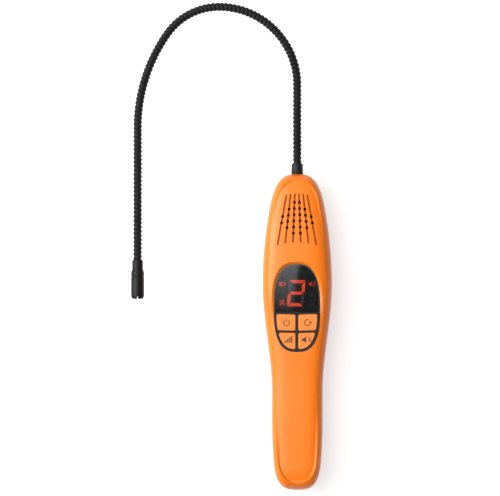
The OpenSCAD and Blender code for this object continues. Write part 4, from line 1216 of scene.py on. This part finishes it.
class Legend(Enum):
    """Printed signs of the keys."""

    POWER = "power"
    RESET = "reset"
    LEVEL = "level"
    MUTE = "mute"

    @property
    def grow(self) -> float:
        """Share by which the drawn sign is enlarged."""
        return 1.25

    @staticmethod
    def arc(radius: float, width: float, start: float, stop: float) -> list[Point]:
        """Outline of a bent bar."""
        steps = 28
        outer = [(radius + width / 2, start + (stop - start) * i / steps) for i in range(steps + 1)]
        inner = [(radius - width / 2, stop - (stop - start) * i / steps) for i in range(steps + 1)]
        return [(r * math.cos(math.radians(a)), r * math.sin(math.radians(a))) for r, a in outer + inner]

    @staticmethod
    def bar(x: float, y: float, w: float, h: float) -> list[Point]:
        """Outline of a straight bar round its middle."""
        left, right, low, high = x - w / 2, x + w / 2, y - h / 2, y + h / 2
        return [(left, low), (right, low), (right, high), (left, high)]

    def shapes(self) -> list[list[Point]]:
        """Outlines that make up the sign."""
        if self is Legend.POWER:
            return [self.arc(1.7, 0.5, 125, 415), self.bar(0, 1.3, 0.5, 2.0)]
        if self is Legend.RESET:
            return [self.arc(1.7, 0.5, 60, 350), [(2.75, -0.1), (0.75, -0.1), (1.75, 1.15)]]
        if self is Legend.LEVEL:
            return [self.bar(-1.6, -1.2, 0.8, 1.0), self.bar(-0.35, -0.75, 0.8, 1.9),
                    self.bar(0.9, -0.3, 0.8, 2.8), self.bar(2.15, 0.15, 0.8, 3.7)]
        slash = [(1.0, -1.35), (1.45, -1.35), (3.1, 1.35), (2.65, 1.35)]
        other = [(1.0, 1.35), (1.45, 1.35), (3.1, -1.35), (2.65, -1.35)]
        horn = [(-2.4, -0.75), (-1.4, -0.75), (0.1, -1.9), (0.1, 1.9), (-1.4, 0.75), (-2.4, 0.75)]
        return [horn, slash, other]

    def draw(self, name: str, at: Point, top: float) -> Piece:
        """Lays the sign on a key.

        Args:
            name: Name of the piece.
            at: Middle of the sign.
            top: Height of the key's face.

        Returns:
            The thin printed sign.
        """
        grow, sunk, ink, layer = self.grow, 0.01, 0.02, 0.004
        layers: list[Piece] = []
        for i, outline in enumerate(self.shapes()):
            placed = [(at[0] + grow * x, at[1] + grow * y) for x, y in outline]
            layers.append(Bench.prism(name, placed, top - sunk, top + ink + layer * i))
        return Bench.join(layers)


class KeySpot(Enum):
    """The four keys: side, row, stem place from the key field's middle, and sign."""

    POWER = (-1, 1, (-7.6, 5.9), Legend.POWER)
    RESET = (1, 1, (7.6, 5.9), Legend.RESET)
    SENSITIVITY = (-1, 0, (-6.6, -6.4), Legend.LEVEL)
    MUTE = (1, 0, (6.6, -6.4), Legend.MUTE)

    def __init__(self, side: int, row: int, stem: Point, legend: Legend) -> None:
        """Keeps the key's place and sign."""
        self.side = side
        self.row = row
        self.stem = stem
        self.legend = legend

    @property
    def node(self) -> str:
        """Name of the key's solid."""
        return f"key_{self.name.lower()}"

    @property
    def body(self) -> str:
        """Name of the body that the key moves with."""
        return f"{self.node}_body"


@dataclass(frozen=True)
class Grille:
    """Grooves and sound holes over the sounder."""

    form: HandleForm
    count: int = 6
    pitch_top: float = 3.0
    pitch_low: float = 5.6
    from_top: float = 14.5
    length: float = 35.5
    width: float = 1.3
    depth: float = 1.25
    hole_d: float = 2.2
    row_pitch: float = 4.45
    first_row: float = 6.4
    rows: int = 6
    bow_top: float = 0.16
    bow_low: float = 0.3
    tip: float = 0.02
    clear: float = 3
    hole_z: float = 30
    hole_len: float = 12

    def ends(self, i: int) -> tuple[Vector, Vector]:
        """Upper and lower end of a groove in plan."""
        k = i - (self.count - 1) / 2
        top = self.form.top_y - self.from_top
        return (Vector((k * self.pitch_top, top - self.bow_top * k * k)),
                Vector((k * self.pitch_low, top - self.length - self.bow_low * k * k)))

    def groove(self, i: int) -> Piece:
        """Cutter for one groove with a round floor that follows the surface."""
        p, q = self.ends(i)
        run = q - p
        side = Vector((-run.y, run.x)).normalized()
        half = self.width / 2

        def place(u: float, v: float) -> Vector:
            """Point round the cutter at a share of its length."""
            s = 0.5 - 0.5 * math.cos(math.pi * v)
            near = min(s, 1 - s) * run.length + self.tip
            w = half * (math.sqrt(1 - (1 - near / half) ** 2) if near < half else 1.0)
            a = 2 * math.pi * u
            mid = p + run * s
            flat = mid + side * (w * math.cos(a))
            floor = self.form.front_z(mid.x, mid.y) - self.depth
            rise = half * (1 + math.sin(a)) if math.sin(a) < 0 else half + self.clear * math.sin(a)
            return Vector((flat.x, flat.y, floor + rise))
        return Bench.tube("groove_cut", around=20, along=40, place=place)

    def cutter(self) -> Piece:
        """Cutter for all grooves and sound holes."""
        holes: list[Piece] = []
        for i in range(self.count):
            out = int(abs(i - (self.count - 1) / 2))
            p, q = self.ends(i)
            for row in range(out, self.rows - out):
                at = p + (q - p) * ((self.first_row + row * self.row_pitch) / self.length)
                foot = (at.x, at.y, self.hole_z)
                holes.append(Bench.rod("hole_cut", foot, "Z", self.hole_len, self.hole_d / 2, sides=26))
        cutter = Bench.join([self.groove(i) for i in range(self.count)])
        Bench.boolean(cutter, Bench.join(holes), "UNION")
        # Every face of the cutter takes the painted shade material, so the walls it cuts come out darker.
        for tone in (Tone.HOUSING, Tone.GROOVE):
            cutter.data.materials.append(tone.material)
        for face in cutter.data.polygons:
            face.material_index = 1
        return cutter


@dataclass(frozen=True)
class Gooseneck:
    """The ribbed neck along its route, with the lead inside."""

    form: HandleForm
    crest_r: float = 3.2
    rib_depth: float = 0.7
    rib_power: float = 0.55
    pitch: float = 3.06
    lead_r: float = 1.0
    lead_over: float = 1.5
    lead_row: float = 3
    lead_sides: int = 12
    insert: float = 14
    rise: float = 65.1
    radii: Triple = (57, 46, 119)
    angles: Triple = (90, 55, 35)
    drop: float = 96.6
    tip_insert: float = 5
    first_cut: float = 9
    first_bend: float = 17
    last_reach: float = 48
    around: int = 28
    per_pitch: int = 10
    smooth: float = 60

    @property
    def legs(self) -> list[Point]:
        """Length and radius of each stretch of the route, with 0 for straight."""
        bends = [(r * math.radians(a), r) for r, a in zip(self.radii, self.angles)]
        return [(self.insert + self.rise, 0), *bends, (self.drop + self.tip_insert, 0)]

    @property
    def length(self) -> float:
        """Length of the whole neck."""
        return sum(leg for leg, _ in self.legs)

    def at(self, s: float) -> tuple[float, float, float]:
        """Place and heading at a distance along the neck.

        Args:
            s: Distance from the end in the handle.

        Returns:
            The two coordinates and the heading in radians.
        """
        x, y, h = 0.0, self.form.top_y - self.insert, math.pi / 2
        for k, (leg, r) in enumerate(self.legs):
            d = s if s <= leg or k == len(self.legs) - 1 else leg
            if r == 0:
                x, y = x + d * math.cos(h), y + d * math.sin(h)
            else:
                t = h + d / r
                x, y, h = x + r * (math.sin(t) - math.sin(h)), y - r * (math.cos(t) - math.cos(h)), t
            s -= d
            if s <= 0:
                break
        return x, y, h

    def point(self, s: float) -> Vector:
        """Middle of the neck at a distance along it, in metres."""
        x, y, _ = self.at(s)
        return Vector((x, y, self.form.part_z)) * MM

    def rib(self, s: float, angle: float) -> float:
        """Outside radius at a distance along the neck and an angle round it."""
        phase = 2 * math.pi * s / self.pitch - angle
        return self.crest_r - self.rib_depth * (1 - (0.5 + 0.5 * math.cos(phase)) ** self.rib_power)

    def ring(self, s: float, angle: float, r: float) -> Vector:
        """Point round the neck."""
        x, y, h = self.at(s)
        side, up = r * math.cos(angle), r * math.sin(angle)
        return Vector((x - side * math.sin(h), y + side * math.cos(h), self.form.part_z + up))

    def skin(self, name: str, s0: float, s1: float) -> Piece:
        """One length of ribbed tube."""
        rows = max(4, round((s1 - s0) / self.pitch * self.per_pitch))

        def place(u: float, v: float) -> Vector:
            """Point of the ribbed skin."""
            s = s0 + (s1 - s0) * v
            angle = 2 * math.pi * u
            return self.ring(s, angle, self.rib(s, angle))
        piece = Bench.tube(name, self.around, rows, place, capped=False)
        Bench.shade(piece, self.smooth)
        return Bench.dress(piece, Tone.NECK.material)

    def lead(self, name: str, s0: float, s1: float) -> Piece:
        """One length of the sensor lead inside the neck."""
        def place(u: float, v: float) -> Vector:
            """Point of the lead's sleeve."""
            return self.ring(s0 + (s1 - s0) * v, 2 * math.pi * u, self.lead_r)
        piece = Bench.tube(name, self.lead_sides, max(3, round((s1 - s0) / self.lead_row)), place)
        Bench.shade(piece, self.smooth)
        return Bench.dress(piece, Tone.LEAD.material)

    def inner_lead(self) -> Piece:
        """The lead between the board's connector and the neck."""
        y0 = self.form.top_y - self.insert
        line = [Vector(p) for p in ((-8, 49.3, 24.5), (-8, 53.2, 24.5), (-6, 60.2, 23.5), (-3, y0 - 22, 21),
                                    (0, y0 - 10, 19.2), (0, y0 - 4, 19), (0, y0 + 6, 19), (0, y0 + 16, 19))]
        count, step = len(line) - 1, 0.01

        def route(t: float) -> Vector:
            """Smooth route through the line's points."""
            i = min(int(t * count), count - 1)
            w = t * count - i
            a, b, c, d = (line[max(0, min(count, k))] for k in (i - 1, i, i + 1, i + 2))
            return 0.5 * ((2 * b) + (c - a) * w + (2 * a - 5 * b + 4 * c - d) * w * w
                          + (3 * b - a - 3 * c + d) * w ** 3)

        def place(u: float, v: float) -> Vector:
            """Point of the lead's sleeve."""
            run = (route(min(1, v + step)) - route(max(0, v - step))).normalized()
            side = Vector((-run.y, run.x, 0)).normalized()
            angle = 2 * math.pi * u
            return route(v) + self.lead_r * (math.cos(angle) * side + math.sin(angle) * run.cross(side))
        piece = Bench.tube("sensor_lead_inside", self.lead_sides, along=48, place=place)
        Bench.shade(piece, self.smooth)
        return Bench.dress(piece, Tone.LEAD.material)

    def build(self) -> None:
        """Makes the neck and its lead in lengths cut between its joints."""
        legs = [leg for leg, _ in self.legs]
        bends = [self.insert + self.first_bend, legs[0], legs[0] + legs[1],
                 legs[0] + legs[1] + legs[2] + legs[3] / 2]
        cuts = [self.insert + self.first_cut, *((a + b) / 2 for a, b in zip(bends, bends[1:])),
                bends[3] + self.last_reach]
        nodes = ["gooseneck_link_1", "gooseneck_link_2", "gooseneck_link_3", "gooseneck_link_4"]
        root = self.skin("gooseneck_base", 0.0, cuts[0])
        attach(root, "handle")
        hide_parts("gooseneck_root")
        stub = self.inner_lead()
        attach(stub, "handle")
        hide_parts("sensor_lead")
        for i, node in enumerate(nodes):
            s0, s1 = cuts[i], cuts[i + 1]
            skin = self.skin(f"gooseneck_bend_{i + 1}", s0, s1)
            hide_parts(node)
            self.point(s0)
            self.point(s1)
            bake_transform(skin)
            lead = self.lead(f"sensor_lead_bend_{i + 1}", s0, s1)
            self.point(s0)
            self.point(s1)
            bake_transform(lead)
            LOG.info("neck bend %d: %d faces", i + 1, len(skin.data.polygons))
        tip = self.skin("gooseneck_end", cuts[4], self.length)
        tail = self.lead("sensor_lead_end", cuts[4], self.length + self.lead_over)
        for piece, slot in ((tip, "neck_black"), (tail, "lead_sleeve")):
            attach(piece, "probe")


@dataclass(frozen=True)
class NeckBoot:
    """Moulded collar where the neck leaves the handle.

    Each pair of the lip is a distance out from the top's radius and one down from the end.
    """

    form: HandleForm
    base_r: float = 4.3
    top_r: float = 4.05
    hole_r: float = 3.9
    flange_r: float = 5.6
    flange_t: float = 2
    length: float = 7.6
    inside: float = 4.4
    gap: float = 0.05
    fit: float = 0.1
    bore_r: float = 3.3
    edge: float = 0.15
    edge_len: float = 0.3
    lip: tuple[Point, ...] = ((0.02, 0.35), (-0.04, 0.12), (-0.14, 0.0))

    def build(self) -> None:
        """Turns the collar with its flange inside the handle."""
        y0 = self.form.top_y + self.gap
        low = y0 - self.inside
        step = low + self.flange_t
        end = y0 + self.length
        groove = self.hole_r - self.fit
        profile = [(self.bore_r, low), (self.flange_r, low), (self.flange_r, step), (groove, step),
                   (groove, y0), (self.base_r - self.edge, y0), (self.base_r, y0 + self.edge_len),
                   *((self.top_r + out, end - down) for out, down in self.lip),
                   (self.bore_r + self.edge, end), (self.bore_r, end - self.edge_len), (self.bore_r, low)]

        def turn(angle: float, radius: float, y: float) -> Vector:
            """Point round the collar's axis."""
            return Vector((radius * math.cos(angle), y, self.form.part_z + radius * math.sin(angle)))
        boot = Bench.lathe("neck_collar", profile, turn, steps=72)
        Bench.shade(boot, angle=30)
        Bench.dress(boot, Tone.COLLAR.material)
        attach(boot, "handle")
        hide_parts("neck_boot")
        LOG.info("neck collar: %d faces", len(boot.data.polygons))


@dataclass(frozen=True)
class ProbeHead:
    """Holder and slotted cap at the end of the neck.

    Each pair of the ferrule's edge and of the seam is a distance in from the radius and one from the end.
    """

    neck: Gooseneck
    cap_r: float = 4.75
    ferrule_r: float = 3.95
    cap_len: float = 16.2
    holder_len: float = 12.0
    slot_w: float = 1.0
    slot_depth: float = 1.9
    past: float = 1.0
    wire_r: float = 1.3
    socket_r: float = 3.3
    socket_len: float = 5.1
    mouth_r: float = 3.5
    mouth_len: float = 0.3
    ferrule_len: float = 5.9
    ferrule_edge: tuple[Point, ...] = ((0.35, 0.0), (0.1, 0.12), (0.0, 0.4))
    flare_from: float = 6.2
    flare_len: float = 3.4
    flare_end: float = 9.8
    flare_power: float = 0.9
    flare_rows: int = 10
    spigot_r: float = 3.95
    spigot_in: float = 3.1
    spigot_len: float = 6
    floor: float = 2.4
    cap_gap: float = 0.15
    cap_in: float = 4.05
    cap_end: float = 1.6
    cap_edge: float = 2.1
    seam: tuple[Point, ...] = ((0.0, 0.12), (0.04, 0.04), (0.12, 0.0))
    steps: int = 72
    smooth: float = 35

    @property
    def neck_end(self) -> Point:
        """Place where the neck enters the holder."""
        x, y, _ = self.neck.at(self.neck.length - self.neck.tip_insert)
        return x, y

    def turn(self, angle: float, radius: float, down: float) -> Vector:
        """Point round the probe's axis at a distance down from the neck's end."""
        x, y = self.neck_end
        side, up = radius * math.cos(angle), radius * math.sin(angle)
        return Vector((x + side, y - down, self.neck.form.part_z + up))

    def build_holder(self) -> None:
        """Turns the holder with its ferrule, flare and spigot."""
        f, r, n = self.ferrule_r, self.cap_r, self.holder_len
        socket = [(self.wire_r, self.socket_len), (self.socket_r, self.socket_len),
                  (self.socket_r, self.mouth_len), (self.mouth_r, 0.0)]
        rim = [*((f - out, down) for out, down in self.ferrule_edge), (f, self.ferrule_len)]
        shares = [i / self.flare_rows for i in range(self.flare_rows + 1)]
        flare = [(f + (r - f) * smooth_step(t) ** self.flare_power, self.flare_from + self.flare_len * t)
                 for t in shares]
        seam = [(r, self.flare_end), *((r - out, n - up) for out, up in self.seam)]
        spigot = [(self.spigot_r, n), (self.spigot_r, n + self.spigot_len),
                  (self.spigot_in, n + self.spigot_len), (self.spigot_in, n + self.floor),
                  (self.wire_r, n + self.floor)]
        profile = [*socket, *rim, *flare, *seam, *spigot, socket[0]]
        holder = Bench.lathe("probe_holder_skin", profile, self.turn, self.steps)
        Bench.shade(holder, self.smooth)
        Bench.dress(holder, Tone.PROBE.material)
        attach(holder, "probe")
        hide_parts("probe_holder")
        LOG.info("probe holder: %d faces", len(holder.data.polygons))

    def build_cap(self) -> None:
        """Turns the sensor cap and cuts its cross slots."""
        r, n, edge = self.cap_r, self.cap_len, self.cap_edge
        low = self.holder_len + self.cap_gap
        bend = [(r - edge + edge * math.sin(a), n - edge + edge * math.cos(a))
                for a in (math.radians(90 - 9 * i) for i in range(11))]
        rim = [(r - out, up) for out, up in reversed(self.seam)]
        outer = [(self.cap_in, 0.0), *rim, *bend, (0.0, n)]
        inner = [(0.0, n - self.cap_end), (self.cap_in, n - self.cap_end), (self.cap_in, 0.0)]
        profile = [(radius, low + at) for radius, at in outer + inner]
        cap = Bench.lathe("sensor_cap_skin", profile, self.turn, self.steps)
        x, y = self.neck_end
        end, z = y - low - n, self.neck.form.part_z
        thin, wide = self.slot_w / 2, r + self.past
        for half_x, half_z in ((thin, wide), (wide, thin)):
            first = (x - half_x, end - self.past, z - half_z)
            last = (x + half_x, end + self.slot_depth, z + half_z)
            Bench.boolean(cap, Bench.block("slot_cut", first, last))
        Bench.shade(cap, self.smooth)
        Bench.dress(cap, Tone.PROBE.material)
        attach(cap, "sensor_cap_body")
        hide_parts("sensor_cap")
        LOG.info("sensor cap: %d faces", len(cap.data.polygons))

    def build(self) -> None:
        """Makes both pieces."""
        self.build_holder()
        self.build_cap()


class InnerParts:
    """Solids that stay as they are and only get their finish."""

    FINISH: dict[str, Tone] = {
        "case_screws": Tone.STEEL, "board_screws": Tone.STEEL, "main_board": Tone.BOARD,
        "board_chips": Tone.CHIP, "lead_connector": Tone.NYLON, "switch_bodies": Tone.CHIP,
        "display_module": Tone.DISPLAY,
        "lit_segments": Tone.LIT, "lit_icons": Tone.ICON, "dim_segments": Tone.DARK, "dim_icons": Tone.FAINT,
        "sounder_frame": Tone.CHIP, "sounder_cone": Tone.PAPER, "sounder_magnet": Tone.MAGNET,
        "fan_housing": Tone.CHIP, "fan_motor": Tone.STEEL, "fan_rotor": Tone.NYLON,
        "bridge_contact": Tone.NICKEL, "positive_contact": Tone.NICKEL, "negative_contact": Tone.NICKEL,
        "neck_ferrule": Tone.BRASS, "neck_nut": Tone.BRASS, "sensor_socket": Tone.NYLON,
        "sensor_pins": Tone.BRASS, "sensor_element": Tone.STEEL, "cap_seal": Tone.SEAL,
        "plunger_power": Tone.CHIP, "plunger_reset": Tone.CHIP, "plunger_sensitivity": Tone.CHIP,
        "plunger_mute": Tone.CHIP,
    }
    CELLS = 4
    POSITIVE_UP = 2

    def build(self) -> None:
        """Dresses the solids."""
        for node, tone in self.FINISH.items():
            Bench.dress(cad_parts[node], tone.material)
        for i in range(1, self.CELLS + 1):
            low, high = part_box(f"cell_{i}")
            sleeve = CellSleeve(f"cell_sleeve_{i}", low.y / MM, high.y / MM, i <= self.POSITIVE_UP)
            Bench.dress(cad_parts[f"cell_{i}"], sleeve.make())
        LOG.info("dressed %d solids", len(self.FINISH) + self.CELLS)


@dataclass(frozen=True)
class SoftLamp:
    """A soft oblong lamp, with its width and length, its power in watts and its turn in degrees."""

    name: str
    at: Triple
    to: Triple
    size: Point
    power: float
    turn: float = 0.0

    def hang(self) -> bpy.types.Light:
        """Hangs the lamp in its place, facing its point."""
        light = bpy.data.lights.new(self.name, "AREA")
        light.shape = "RECTANGLE"
        light.size, light.size_y = self.size[0] * MM, self.size[1] * MM
        light.energy = self.power
        lamp = bpy.data.objects.new(self.name, light)
        bpy.context.scene.collection.objects.link(lamp)
        lamp.location = Vector(self.at) * MM
        lamp.rotation_euler = (Vector(self.to) - Vector(self.at)).to_track_quat("-Z", "Y").to_euler()
        lamp.rotation_euler.rotate_axis("Z", math.radians(self.turn))
        return light


@dataclass(frozen=True)
class Studio:
    """Floor, soft light and the camera above the object. Places are in millimetres."""

    aim: Triple = (-34.35, 60.9, 19.0)
    stand: Point = (28.0, 17.0)
    frame_w: float = 363.5
    lens: float = 240.0
    sensor: float = 36.0
    floor_size: float = 8000
    floor_drop: float = 0.3
    floor_tone: float = 0.62
    floor_glow: float = 0.63
    sky_tone: Colour = (0.26, 0.26, 0.264)
    softbox: SoftLamp = SoftLamp("softbox", (-660, 340, 800), (-660, 340, 0), (1240, 1500), 14)
    key_lamp: SoftLamp = SoftLamp("key_lamp", (-900, 250, 700), (0, 20, 20), (600, 600), 7.5)
    lens_card: SoftLamp = SoftLamp("lens_card", (-25.0, 38.8, 635.6), (-25.0, 38.8, 0.0), (34, 54),
                                   0.016, -8.8)

    @staticmethod
    def shown(nodes: bpy.types.Nodes, links: bpy.types.NodeLinks) -> Socket:
        """Tells rays that show the background from rays that carry its light.

        Args:
            nodes: Nodes of the background's material.
            links: Links between them.

        Returns:
            A socket that is 1 for what is seen straight, in gloss or through glass.
        """
        path = nodes.new("ShaderNodeLightPath")
        total = path.outputs["Is Camera Ray"]
        for ray in ("Is Glossy Ray", "Is Transmission Ray"):
            add = nodes.new("ShaderNodeMath")
            add.use_clamp = True
            links.new(total, add.inputs[0])
            links.new(path.outputs[ray], add.inputs[1])
            total = add.outputs["Value"]
        return total

    def floor(self) -> None:
        """Lays a pale floor that looks white and keeps the object's shadow."""
        Bench.clear()
        bpy.ops.mesh.primitive_plane_add(size=self.floor_size * MM, location=(0, 0, -self.floor_drop * MM))
        plane = Bench.named("floor")
        sheet = NodeSheet("floor_white")
        sheet.set(Base_Color=(self.floor_tone,) * 3, Roughness=0.75, Specular_IOR_Level=0.2,
                  Emission_Color=(1.0, 1.0, 1.0))
        seen = self.shown(sheet.nodes, sheet.links)
        glow = sheet.range(seen, low=0.0, high=self.floor_glow, from_low=0.0, from_high=1.0)
        sheet.feed(glow, "Emission Strength")
        Bench.dress(plane, sheet.material)

    def card(self) -> None:
        """Hangs a small card above the display that fades out towards the tail."""
        light = self.lens_card.hang()
        light.use_nodes = True
        nodes, links = light.node_tree.nodes, light.node_tree.links
        split, fade = nodes.new("ShaderNodeSeparateXYZ"), nodes.new("ShaderNodeMapRange")
        links.new(nodes.new("ShaderNodeNewGeometry").outputs["Parametric"], split.inputs["Vector"])
        links.new(split.outputs["Y"], fade.inputs["Value"])
        links.new(fade.outputs["Result"], nodes["Emission"].inputs["Strength"])

    def sky(self) -> None:
        """Fills in from an even dim sky that is white to the camera."""
        world = bpy.data.worlds.new("studio")
        bpy.context.scene.world = world
        world.use_nodes = True
        nodes, links = world.node_tree.nodes, world.node_tree.links
        ramp = nodes.new("ShaderNodeValToRGB")
        links.new(nodes.new("ShaderNodeLightPath").outputs["Is Camera Ray"], ramp.inputs["Fac"])
        ramp.color_ramp.elements[0].color = (*self.sky_tone, 1)
        ramp.color_ramp.elements[1].color = (1, 1, 1, 1)
        links.new(ramp.outputs["Color"], nodes["Background"].inputs["Color"])
        nodes["Background"].inputs["Strength"].default_value = 1.0

    def camera(self) -> None:
        """Sets the camera above the handle, aimed at the middle of the picture."""
        data = bpy.data.cameras.new("camera")
        data.lens = self.lens
        data.sensor_width = self.sensor
        camera = bpy.data.objects.new("camera", data)
        bpy.context.scene.collection.objects.link(camera)
        aim = Vector(self.aim)
        place = Vector((*self.stand, aim.z + self.frame_w * self.lens / self.sensor))
        back = (place - aim).normalized()
        right = Vector((0, 1, 0)).cross(back).normalized()
        turned = Matrix((right, back.cross(right), back)).transposed().to_4x4()
        camera.matrix_world = Matrix.Translation(place * MM) @ turned
        bpy.context.scene.camera = camera

    def build(self) -> None:
        """Sets the whole stage."""
        self.floor()
        self.sky()
        self.softbox.hang()
        self.key_lamp.hang()
        self.card()
        self.camera()
        bpy.context.scene.view_settings.view_transform = "Standard"


def main() -> None:
    """Builds the pieces in order."""
    logging.basicConfig(level=logging.INFO, format="%(name)s %(message)s")
    Studio().build()
    form = HandleForm()
    panel, grille = Panel(form), Grille(form)
    Shells(form, panel, grille).build()
    panel.build()
    neck = Gooseneck(form)
    neck.build()
    NeckBoot(form).build()
    ProbeHead(neck).build()
    InnerParts().build()
    Bench.clear()


if __name__ == "__main__":
    main()
